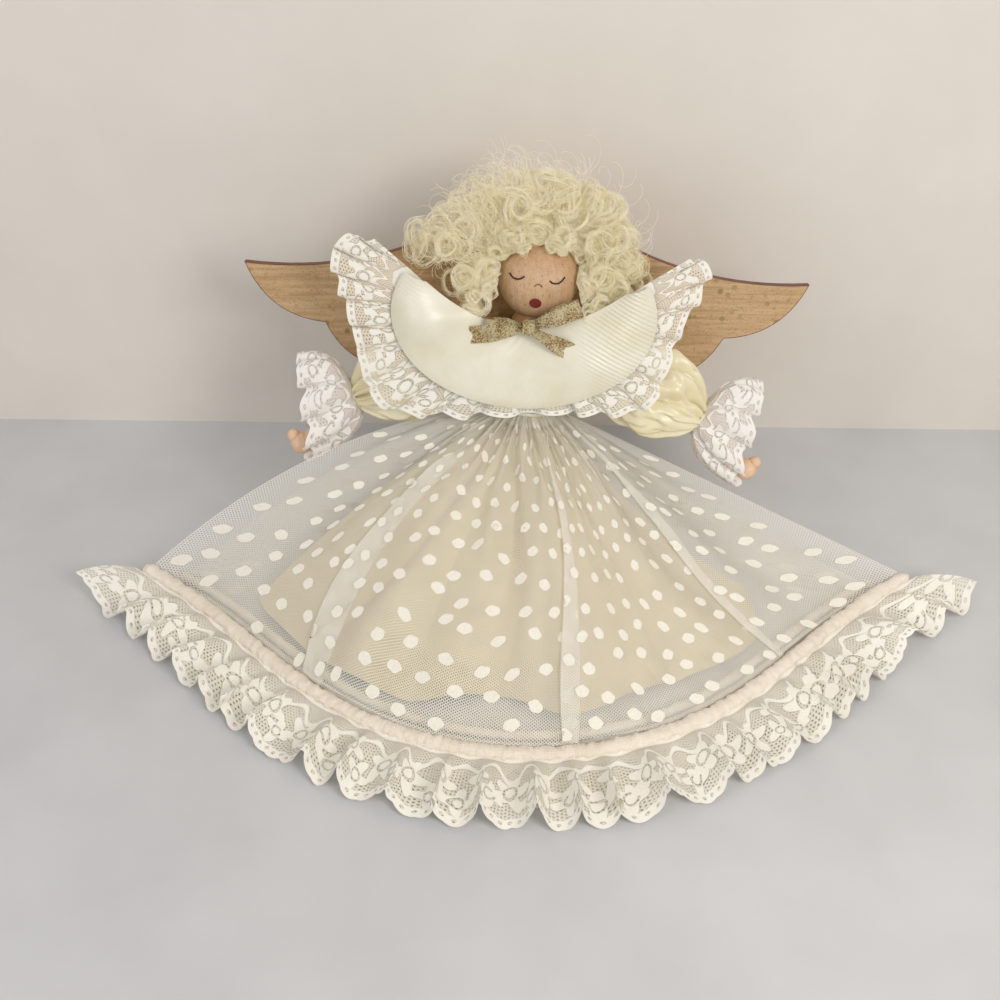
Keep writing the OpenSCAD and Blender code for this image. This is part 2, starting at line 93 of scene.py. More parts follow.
def through(knots: tuple, x: float) -> Value:
    """A smooth line through knots.

    Args:
        knots: pairs of a place and a value, a number or a vector, in order of place.
        x: where to read it.

    Returns:
        The value at x, held beyond the ends.
    """
    places = [k[0] for k in knots]
    x = min(max(x, places[0]), places[-1])
    i = min(max(bisect.bisect_right(places, x) - 1, 0), len(knots) - 2)
    before, after = knots[max(i - 1, 0)][1], knots[min(i + 2, len(knots) - 1)][1]
    a, b = knots[i][1], knots[i + 1][1]
    t = (x - places[i]) / (places[i + 1] - places[i])
    bend = (a * 2 - before - b) * (t * (1 - t) ** 2) - (b * 2 - after - a) * (t * t * (t - 1))
    return a + (b - a) * t + bend * 0.5


def bezier(a: Vector, c: Vector, b: Vector, t: float) -> Vector:
    """A point of the curve from a to b that is drawn toward c."""
    return a * (1 - t) ** 2 + c * (2 * t * (1 - t)) + b * t * t


def linear(colour: Colour) -> tuple[float, float, float, float]:
    """Turn a display colour into the linear one that sockets hold.

    Args:
        colour: red, green and blue as a screen shows them.

    Returns:
        The linear colour, opaque.
    """

    def channel(c: float) -> float:
        """Undo the display curve of one channel."""
        return c / 12.92 if c <= 0.04045 else ((c + 0.055) / 1.055) ** 2.4

    return (*(channel(c) for c in colour), 1.0)


# Fields: number patterns drawn by a material's nodes


class Field:
    """A number that varies over a surface, made of a material's math nodes."""

    def __init__(self, paint: "Paint", socket: Socket) -> None:
        """Wrap an output socket of a material's node tree."""
        self.paint = paint
        self.socket = socket

    def _math(self, operation: str, *others: "Field | float") -> "Field":
        """Run a math node on this field and others.

        Args:
            operation: the node's operation.
            others: its further inputs.

        Returns:
            The result as a field.
        """
        node = self.paint.node("ShaderNodeMath", operation=operation)
        for slot, value in zip(node.inputs, (self, *others)):
            self.paint.feed(slot, value)
        return Field(self.paint, node.outputs[0])

    def __add__(self, other: "Field | float") -> "Field":
        """Add a field or a number."""
        return self._math("ADD", other)

    def __sub__(self, other: "Field | float") -> "Field":
        """Take away a field or a number."""
        return self._math("SUBTRACT", other)

    def __mul__(self, other: "Field | float") -> "Field":
        """Multiply by a field or a number."""
        return self._math("MULTIPLY", other)

    def most(self, other: "Field") -> "Field":
        """The larger of two fields."""
        return self._math("MAXIMUM", other)

    def cos(self) -> "Field":
        """The cosine of an angle in radians."""
        return self._math("COSINE")

    def size(self) -> "Field":
        """The number without its sign."""
        return self._math("ABSOLUTE")

    def angle(self, x: "Field") -> "Field":
        """The angle of the point (x, this) in radians."""
        return self._math("ARCTAN2", x)

    def centred(self, pitch: float) -> "Field":
        """Repeat from minus half a pitch to half a pitch."""
        return self._math("WRAP", pitch / 2, -pitch / 2)

    def reach(self, other: "Field") -> "Field":
        """The length of the vector made of two fields."""
        return (self * self + other * other)._math("SQRT")

    def ramp(self, low: float, high: float) -> "Field":
        """Go from 0 at low to 1 at high, held beyond.

        Args:
            low: the number that gives 0.
            high: the number that gives 1, above or below low.

        Returns:
            The share as a field.
        """
        node = self.paint.node("ShaderNodeMapRange")
        self.paint.feed(node.inputs["Value"], self)
        node.inputs["From Min"].default_value = low
        node.inputs["From Max"].default_value = high
        return Field(self.paint, node.outputs["Result"])


class Paint:
    """A material under construction: its nodes, fields and shader sockets."""

    def __init__(self, name: str) -> None:
        """Start a material with one Principled shader.

        Args:
            name: the material's name.
        """
        self.material = bpy.data.materials.new(name)
        self.material.use_nodes = True
        self.tree = self.material.node_tree
        self.shader = self.tree.nodes["Principled BSDF"]

    def node(self, kind: str, **settings: str) -> bpy.types.Node:
        """Add a node with some settings.

        Args:
            kind: the node's type name.
            settings: attributes to set on it.

        Returns:
            The new node.
        """
        made = self.tree.nodes.new(kind)
        for key, value in settings.items():
            setattr(made, key, value)
        return made

    def feed(self, slot: Socket, value: "Field | Socket | float | tuple") -> None:
        """Link a field or socket into a slot, or set a plain value on it.

        Args:
            slot: the input socket.
            value: what it gets.
        """
        if isinstance(value, Field):
            value = value.socket
        if isinstance(value, Socket):
            self.tree.links.new(value, slot)
        else:
            slot.default_value = value

    def set(self, **sockets: "Field | Socket | float | tuple") -> None:
        """Set or link sockets of the shader, named with _ for spaces."""
        for key, value in sockets.items():
            self.feed(self.shader.inputs[key.replace("_", " ")], value)

    def flat(self) -> tuple[Field, Field]:
        """The surface's own flat coordinates in millimetres.

        Returns:
            The coordinates across and down its cut.
        """
        split = self.node("ShaderNodeSeparateXYZ")
        self.feed(split.inputs[0], self.node("ShaderNodeUVMap").outputs[0])
        return Field(self, split.outputs[0]), Field(self, split.outputs[1])

    def place(self, stretch: Triple = (1, 1, 1)) -> Socket:
        """The place on the doll in millimetres, stretched for a pattern.

        Args:
            stretch: scale along X, Y and Z.

        Returns:
            The place's socket.
        """
        scale = self.node("ShaderNodeMapping")
        self.feed(scale.inputs["Vector"], self.node("ShaderNodeTexCoord").outputs["Object"])
        scale.inputs["Scale"].default_value = [s / MM for s in stretch]
        return scale.outputs[0]

    def noise(self, place: Socket, scale: float, detail: float = 3.0, rough: float = 0.55) -> Field:
        """Smooth noise at a place, in waves of about 1/scale.

        Args:
            place: where it is read.
            scale: waves in a millimetre.
            detail: layers of finer noise.
            rough: how strong the finer layers are.

        Returns:
            The noise as a field, about 0.5 on average.
        """
        made = self.node("ShaderNodeTexNoise")
        self.feed(made.inputs["Vector"], place)
        for key, value in (("Scale", scale), ("Detail", detail), ("Roughness", rough)):
            made.inputs[key].default_value = value
        return Field(self, made.outputs["Fac"])

    def spots(self, place: Socket, scale: float) -> Field:
        """The distance to the nearest of many scattered points.

        Args:
            place: where it is read.
            scale: points in a millimetre.

        Returns:
            The distance as a field.
        """
        made = self.node("ShaderNodeTexVoronoi")
        self.feed(made.inputs["Vector"], place)
        made.inputs["Scale"].default_value = scale
        return Field(self, made.outputs["Distance"])

    def blend(self, share: Field, low: Colour | Socket, high: Colour | Socket) -> Socket:
        """Mix two colours by a field.

        Args:
            share: 0 shows low and 1 shows high.
            low: a colour or a colour socket.
            high: a colour or a colour socket.

        Returns:
            The mixed colour's socket.
        """
        made = self.node("ShaderNodeMix", data_type="RGBA")
        self.feed(made.inputs["Factor"], share)
        for slot, value in (("A", low), ("B", high)):
            plug = [s for s in made.inputs if s.name == slot and s.type == "RGBA"][0]
            self.feed(plug, linear(value) if isinstance(value, tuple) else value)
        return [s for s in made.outputs if s.type == "RGBA"][0]

    def relief(self, height: Field, depth: float) -> None:
        """Raise the surface by a field, depth in millimetres.

        Args:
            height: the relief, from 0 to about 1.
            depth: how high 1 stands.
        """
        made = self.node("ShaderNodeBump")
        made.inputs["Strength"].default_value = 1.0
        made.inputs["Distance"].default_value = depth * MM
        self.feed(made.inputs["Height"], height)
        self.feed(self.shader.inputs["Normal"], made.outputs[0])

    def net(self, u: Field, v: Field, pitch: float) -> Field:
        """A net of round holes: high in the holes, low on the threads.

        Args:
            u: the coordinate across.
            v: the coordinate down.
            pitch: from hole to hole, in millimetres.

        Returns:
            The net as a field, from -1.5 to 3.
        """
        k = 4 * math.pi / (math.sqrt(3) * pitch)
        total = (u * k).cos()
        for turn in (120, 240):
            a = math.radians(turn)
            total = total + (u * (k * math.cos(a)) + v * (k * math.sin(a))).cos()
        return total


# Finishes


@dataclass(frozen=True)
class WoodFinish:
    """Bare or lightly painted wood with grain and pores."""

    name: str
    pale: Colour
    dark: Colour
    grain: Triple
    flecks: float = 0.0
    gold_spots: bool = False
    roughness: float = 0.42
    spot_gold: Colour = (0.52, 0.45, 0.2)

    def make(self) -> bpy.types.Material:
        """Build the material.

        Returns:
            The material.
        """
        p = Paint(self.name)
        grain = p.noise(p.place(self.grain), 1.0, 5.0, 0.6)
        tone = p.blend(grain.ramp(0.32, 0.68), self.pale, self.dark)
        pore = p.noise(p.place(tuple(g * 5 for g in self.grain)), 1.0, 2.0)
        if self.flecks:
            tone = p.blend(pore.ramp(0.61, 0.68) * self.flecks, tone, tuple(c * 0.55 for c in self.dark))
        if self.gold_spots:
            patch = p.noise(p.place(), 0.09, 2.0).ramp(0.45, 0.62)
            spot = (p.spots(p.place(), 0.32) * -1.0 + 0.34).ramp(0.0, 0.1) * patch
            speck = (p.spots(p.place(), 1.1) * -1.0 + 0.3).ramp(0.0, 0.08)
            tone = p.blend(spot.most(speck * 0.6) * 0.75, tone, self.spot_gold)
        p.set(Base_Color=tone, Roughness=grain.ramp(0, 1) * 0.15 + self.roughness)
        p.relief(pore + grain, 0.06)
        return p.material


@dataclass(frozen=True)
class WeaveFinish:
    """Woven cloth with a fine cross thread, from matte cotton to shining satin."""

    name: str
    pale: Colour
    deep: Colour
    pitch: float
    depth: float
    roughness: float
    sheen: float
    coat: float = 0.0

    def make(self) -> bpy.types.Material:
        """Build the material.

        Returns:
            The material.
        """
        p = Paint(self.name)
        u, v = p.flat()
        k = 2 * math.pi / self.pitch
        thread = (u * k).cos() + (v * k).cos()
        cloud = p.noise(p.place(), 0.07, 4.0)
        tone = p.blend((cloud + thread * 0.04).ramp(0.3, 0.7), self.deep, self.pale)
        p.set(Base_Color=tone, Roughness=self.roughness, Sheen_Weight=self.sheen)
        p.set(Coat_Weight=self.coat, Coat_Roughness=0.25)
        p.relief(thread, self.depth)
        return p.material


@dataclass(frozen=True)
class NetFinish:
    """Sheer net: pale threads round small open holes."""

    name: str
    thread: Colour
    pitch: float
    cover: float

    def make(self) -> bpy.types.Material:
        """Build the material.

        Returns:
            The material.
        """
        p = Paint(self.name)
        u, v = p.flat()
        holes = p.net(u, v, self.pitch)
        alpha = holes.ramp(1.3 + self.cover, -0.9 + self.cover)
        p.set(Base_Color=linear(self.thread), Roughness=0.7, Sheen_Weight=0.3)
        p.set(Alpha=alpha * 0.8 + 0.03, Specular_IOR_Level=0.2)
        return p.material


@dataclass(frozen=True)
class LaceFinish:
    """Gathered lace: flowers and scrolls on a net ground, with an eyelet border.

    The pattern is laid out in shares of the lace's width.
    """

    name: str
    pale: Colour
    deep: Colour
    width: float
    repeat: float

    def make(self) -> bpy.types.Material:
        """Build the material.

        Returns:
            The material.
        """
        p = Paint(self.name)
        u, v = p.flat()
        w, r = self.width, self.repeat
        stray = (p.noise(p.place(), 0.13, 0.0) - 0.5) * (0.16 * w)
        along = u.centred(r) + stray
        between = (u + r / 2).centred(r) - stray
        flower = self._flower(along, v + stray - 0.52 * w, 0.24 * w, 5)
        bud = self._flower(between, v + stray - 0.7 * w, 0.17 * w, 4)
        wave = (u * (2 * math.pi / r)).cos() * 0.1 * w + 0.27 * w
        scroll = (wave - v).size().ramp(0.055 * w, 0.03 * w)
        border = v.ramp(0.86 * w, 0.88 * w)
        eyelet = (u.centred(r / 6).reach(v - 0.93 * w)).ramp(0.012 * w, 0.024 * w)
        heading = v.ramp(0.09 * w, 0.06 * w)
        motif = flower.most(bud).most(scroll).most(border * eyelet).most(heading)
        ground = p.net(u, v, 0.046 * w).ramp(2.3, 0.5)
        p.set(Base_Color=p.blend(motif, self.deep, self.pale), Roughness=0.75, Sheen_Weight=0.4)
        p.set(Alpha=motif.most(ground * 0.85), Specular_IOR_Level=0.25)
        p.relief(motif + p.noise(p.place(), 2.2, 2.0) * 0.7, 0.25)
        return p.material

    def _flower(self, x: Field, y: Field, size: float, petals: int) -> Field:
        """A flower of round petals with an open ring round its eye.

        Args:
            x: across, from its middle.
            y: down, from its middle.
            size: its radius in millimetres.
            petals: how many it has.

        Returns:
            The flower as a field, 1 on its petals.
        """
        r = x.reach(y)
        edge = (y.angle(x) * petals).cos() * (0.3 * size) + 0.85 * size
        ring = (r - 0.36 * size).size().ramp(0.03 * size, 0.09 * size)
        return (edge - r).ramp(-0.05 * size, 0.05 * size) * ring


@dataclass(frozen=True)
class LameFinish:
    """Gold ribbon woven with metal threads, its colour carrying painted light: patches of painted shade and
    reflection, and fine painted glints with specks of painted shade.
    """

    name: str
    gold: Colour
    # shade, dark and the glint colour are painted light: painted shade patches, painted shade specks and painted
    # glints
    shade: Colour
    dark: Colour
    painted_glint: Colour
    pitch: float = 0.55

    def make(self) -> bpy.types.Material:
        """Build the material.

        Returns:
            The material.
        """
        p = Paint(self.name)
        u, v = p.flat()
        k = 2 * math.pi / self.pitch
        weave = (u * k).cos() * (v * k).cos()
        # painted shade and reflection: coarse noise turns patches of the ribbon from gold to shade, as light falling
        # on its folds would
        fold = p.noise(p.place(), 0.3, 1.0)
        # glint places painted glints and painted shade specks in the colour, and also sets the roughness and relief
        glint = p.noise(p.place(), 2.0, 2.0, 0.7)
        tone = p.blend(fold.ramp(0.4, 0.6), self.shade, self.gold)
        thread = glint + weave * 0.05
        # painted shade: dark specks between the glints
        tone = p.blend(thread.ramp(0.47, 0.37) * 0.6, tone, self.dark)
        # painted highlight: small glints on the metal threads
        p.set(Base_Color=p.blend(thread.ramp(0.49, 0.59) * 0.9, tone, self.painted_glint))
        p.set(Metallic=0.3, Roughness=glint.ramp(0.3, 0.7) * 0.3 + 0.2)
        p.relief(weave + glint * 2.4, 0.2)
        return p.material


@dataclass(frozen=True)
class PlainFinish:
    """A soft even finish with slight mottling, for hair, hands, ink and wire, with an optional painted glow:
    emission in its deep colour.
    """

    name: str
    pale: Colour
    deep: Colour
    roughness: float
    grain: float
    depth: float = 0.0
    metallic: float = 0.0
    sheen: float = 0.0
    glow: float = 0.0
    painted_glow: float = 0.0

    def make(self) -> bpy.types.Material:
        """Build the material.

        Returns:
            The material.
        """
        p = Paint(self.name)
        mottle = p.noise(p.place(), self.grain, 3.0)
        p.set(Base_Color=p.blend(mottle.ramp(0.35, 0.65), self.deep, self.pale))
        p.set(Roughness=self.roughness, Metallic=self.metallic, Sheen_Weight=self.sheen)
        if self.glow:
            p.set(Subsurface_Weight=self.glow, Subsurface_Radius=(0.004, 0.003, 0.002))
        # painted glow: emission in the deep colour stands in for light scattered through the fibres
        if self.painted_glow:
            p.set(Emission_Color=linear(self.deep), Emission_Strength=self.painted_glow)
        if self.depth:
            p.relief(mottle, self.depth)
        return p.material


class Finishes:
    """Every finish on the doll, made once."""

    def __init__(self) -> None:
        """Build the materials."""
        cream, warm = (0.95, 0.93, 0.86), (0.90, 0.87, 0.76)
        self.beech = WoodFinish("beech", (0.80, 0.63, 0.45), (0.70, 0.52, 0.35), (1.2, 1.2, 0.06), 0.6).make()
        self.head = WoodFinish("head_beech", (0.84, 0.70, 0.55), (0.78, 0.62, 0.47), (0.6, 0.6, 0.1), 0.75).make()
        self.wing = WoodFinish(
            "wing_board", (0.82, 0.69, 0.52), (0.71, 0.56, 0.39), (0.05, 0.9, 0.9), 0.35, True, 0.45
        ).make()
        self.wing_edge = WoodFinish("wing_edge", (0.50, 0.32, 0.22), (0.42, 0.26, 0.17), (0.2, 1, 1)).make()
        self.satin = WeaveFinish("collar_satin", cream, warm, 0.32, 0.004, 0.3, 0.2, 0.3).make()
        self.sleeve = WeaveFinish(
            "sleeve_satin", (0.96, 0.93, 0.80), (0.92, 0.87, 0.70), 0.25, 0.004, 0.24, 0.15, 0.4
        ).make()
        self.petticoat = WeaveFinish(
            "petticoat_lawn", (0.92, 0.86, 0.69), (0.87, 0.80, 0.61), 0.5, 0.02, 0.75, 0.3
        ).make()
        self.bodice = WeaveFinish("bodice_cloth", cream, warm, 0.4, 0.015, 0.6, 0.3).make()
        self.band = WeaveFinish("hem_band", (0.97, 0.93, 0.86), (0.93, 0.87, 0.79), 0.7, 0.03, 0.55, 0.4).make()
        self.net = NetFinish("dotted_net", (0.97, 0.95, 0.90), 0.86, -0.5).make()
        self.dots = PlainFinish(
            "flock_dots", (0.97, 0.95, 0.90), (0.94, 0.91, 0.84), 0.85, 1.5, 0.05, sheen=0.5
        ).make()
        self.hem_lace = LaceFinish("hem_lace", (0.98, 0.96, 0.91), (0.95, 0.92, 0.85), 22.0, 13.0).make()
        self.collar_lace = LaceFinish("collar_lace", (0.97, 0.95, 0.90), (0.94, 0.90, 0.82), 20.0, 11.0).make()
        self.cuff_lace = LaceFinish("cuff_lace", (0.97, 0.95, 0.92), (0.94, 0.90, 0.86), 16.0, 8.0).make()
        # gold lame colours: gold, painted shade, painted shade specks, painted glints
        self.lame = LameFinish(
            "gold_lame", (1.0, 0.92, 0.72), (0.76, 0.61, 0.39), (0.45, 0.31, 0.13), (1.0, 0.95, 0.77)
        ).make()
        # the wig carries a faint painted glow that lightens its shade
        self.hair = PlainFinish(
            "wig_fibre", (0.99, 0.96, 0.86), (0.95, 0.91, 0.76), 0.25, 0.2, sheen=0.3, painted_glow=0.08
        ).make()
        self.hand = PlainFinish(
            "hand_peach", (0.96, 0.83, 0.70), (0.93, 0.76, 0.62), 0.6, 0.5, 0.03, glow=0.15
        ).make()
        self.nose = PlainFinish("nose_ink", (0.56, 0.36, 0.25), (0.48, 0.30, 0.20), 0.5, 2.0).make()
        self.ink = PlainFinish("face_ink", (0.24, 0.12, 0.08), (0.17, 0.08, 0.05), 0.5, 2.0).make()
        self.mouth = PlainFinish("mouth_paint", (0.52, 0.17, 0.13), (0.42, 0.12, 0.09), 0.45, 1.2).make()
        self.wire = PlainFinish("arm_wire", (0.55, 0.55, 0.55), (0.42, 0.42, 0.42), 0.4, 1.0, metallic=0.8).make()


# Meshes


def linked(name: str, data: bpy.types.ID) -> bpy.types.Object:
    """Put a mesh, camera or lamp into the scene as an object.

    Args:
        name: the object's name.
        data: what it shows.

    Returns:
        The new object.
    """
    made = bpy.data.objects.new(name, data)
    bpy.context.scene.collection.objects.link(made)
    return made


def object_of(
    bm: bmesh.types.BMesh, name: str, material: bpy.types.Material, body: str = "doll"
) -> bpy.types.Object:
    """Turn a bmesh in millimetres into a smooth piece that rides on a body.

    Args:
        bm: the shape, which is freed.
        name: the piece's name.
        material: its finish.
        body: the CAD body that it moves with.

    Returns:
        The new object.
    """
    bmesh.ops.scale(bm, vec=(MM, MM, MM), verts=bm.verts)
    for face in bm.faces:
        face.smooth = True
    mesh = bpy.data.meshes.new(name)
    bm.to_mesh(mesh)
    bm.free()
    made = linked(name, mesh)
    mesh.materials.append(material)
    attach(made, body)
    LOG.info("%s: %d faces on %s", name, len(mesh.polygons), body)
    return made


@dataclass(frozen=True)
class Cut:
    """A cloth's flat cut in millimetres, and how the doll holds it.

    The share is what a shaped cut keeps of its width times length. A trim rests on nothing.
    """

    width: float
    length: float
    rests_on: tuple[str, ...] = ()
    share: float = 1.0
    held: str = "gathered"


def add_sheet(
    bm: bmesh.types.BMesh, surface: Surface, grid: tuple[int, int], cut: Cut, inset: float = 0.0
) -> None:
    """Add a grid laid on a surface, with its flat cut as the UV map.

    Args:
        bm: the mesh to add to.
        surface: gives the point at (u, v), both from 0 to 1, in millimetres.
        grid: faces along u and along v.
        cut: the flat cut, its width along u.
        inset: how far down the cut its pattern starts, in millimetres.
    """
    layer = bm.loops.layers.uv.verify()
    made = bmesh.ops.create_grid(bm, x_segments=grid[0], y_segments=grid[1], size=0.5)["verts"]
    half = max(v.co.x for v in made)
    share = {v: (v.co.x / half / 2 + 0.5, v.co.y / half / 2 + 0.5) for v in made}
    for face in {f for v in made for f in v.link_faces}:
        for loop in face.loops:
            u, v = share[loop.vert]
            loop[layer].uv = (u * cut.width, v * cut.length - inset)
    for vert, (u, v) in share.items():
        vert.co = surface(u, v)


def stands_for(made: bpy.types.Object, slot: str, *nodes: str) -> bpy.types.Object:
    """Hide the CAD nodes that a piece stands for.

    Args:
        made: the piece.
        slot: not used.
        nodes: the CAD nodes, if any.

    Returns:
        The same piece.
    """
    if nodes:
        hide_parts(*nodes)
    return made


def cloth_piece(
    name: str,
    node: str,
    slot: str,
    surface: Surface,
    grid: tuple[int, int],
    cut: Cut,
    material: bpy.types.Material,
    body: str = "doll",
    closed: bool = False,
    inset: float = 0.0,
) -> None:
    """Args:
        name: the piece's name.
        node: the CAD node that it stands for.
        slot: its material slot.
        surface: the sheet's shape.
        grid: faces along u and along v.
        cut: its flat cut.
        material: its finish.
        body: the CAD body that it moves with.
        closed: True where u = 0 and u = 1 are the same edge.
        inset: how far down the cut its pattern starts, in millimetres.
    """
    bm = bmesh.new()
    add_sheet(bm, surface, grid, cut, inset)
    if closed:
        bmesh.ops.remove_doubles(bm, verts=bm.verts, dist=1e-4)
    made = stands_for(object_of(bm, name, material, body), slot, node)
    if cut.rests_on:
        width, length = cut.width * MM, cut.length * MM
        area = width * length * cut.share
        measured = sum(face.area for face in made.data.polygons)
        LOG.info("%s: cloth %.5f m2, cut %.5f m2", name, measured, area)


def add_ball(bm: bmesh.types.BMesh, place: Matrix, size: Triple, detail: int = 32) -> None:
    """Add a ball of three half sizes at a place."""
    made = bmesh.ops.create_uvsphere(bm, u_segments=detail, v_segments=detail // 2, radius=1.0)["verts"]
    bmesh.ops.transform(bm, matrix=place @ Matrix.Diagonal((*size, 1.0)), verts=made)


def strand_piece(
    name: str, strands: list[list[Vector]], radius: float, material: bpy.types.Material, sides: int = 0
) -> bpy.types.Object:
    """Make many thin strands as one mesh piece.

    Args:
        name: the piece's name.
        strands: each strand's points in millimetres.
        radius: the strands' radius in millimetres.
        material: their finish.
        sides: the curve's bevel resolution.

    Returns:
        The new object.
    """
    curve = bpy.data.curves.new(name + "_path", "CURVE")
    curve.dimensions = "3D"
    curve.bevel_depth = radius
    curve.bevel_resolution = sides
    curve.use_fill_caps = True
    for points in strands:
        spline = curve.splines.new("POLY")
        spline.points.add(len(points) - 1)
        for slot, point in zip(spline.points, points):
            slot.co = (*point, 1.0)
    holder = bpy.data.objects.new(name + "_path", curve)
    bm = bmesh.new()
    bm.from_mesh(holder.to_mesh())
    holder.to_mesh_clear()
    bpy.data.objects.remove(holder)
    bpy.data.curves.remove(curve)
    return object_of(bm, name, material)


def refinish(node: str, material: bpy.types.Material, slot: str) -> None:
    """Keep a CAD node's shape, give it a finish, and log it under a slot name.

    Args:
        node: the CAD node's name.
        material: its finish.
        slot: its material slot.
    """
    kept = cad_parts[node]
    kept.data.materials.clear()
    kept.data.materials.append(material)
    LOG.info("%s: the solid's own shape, finished as %s", node, slot)


# The doll's own frame


@dataclass(frozen=True)
class Stance:
    """How the clothespin leans and rolls over its feet, and where things sit on it."""

    lean: float = 15.0
    roll: float = 3.0
    foot_z: float = 3.56
    waist_h: float = 49.0
    head_h: float = 92.02
    head_r: float = 12.5

    @property
    def matrix(self) -> Matrix:
        """The way from the upright doll to the doll as it sits."""
        turn = Matrix.Rotation(math.radians(-self.lean), 4, "X") @ Matrix.Rotation(math.radians(self.roll), 4, "Y")
        return Matrix.Translation((0, 0, self.foot_z)) @ turn


STANCE = Stance()
SIT = STANCE.matrix
WAIST = SIT @ Vector((0, 0, STANCE.waist_h))


def around(a: float, r: float, h: float) -> Vector:
    """A point round the doll's axis, a radians from its front and h up, as it sits."""
    return SIT @ Vector((r * math.sin(a), -r * math.cos(a), h))


def fan_point(angle: float, reach: float, z: float) -> Vector:
    """A point at an angle from the front, a reach from the waist and a height."""
    a = math.radians(angle)
    return Vector((WAIST.x + reach * math.sin(a), WAIST.y - reach * math.cos(a), z))


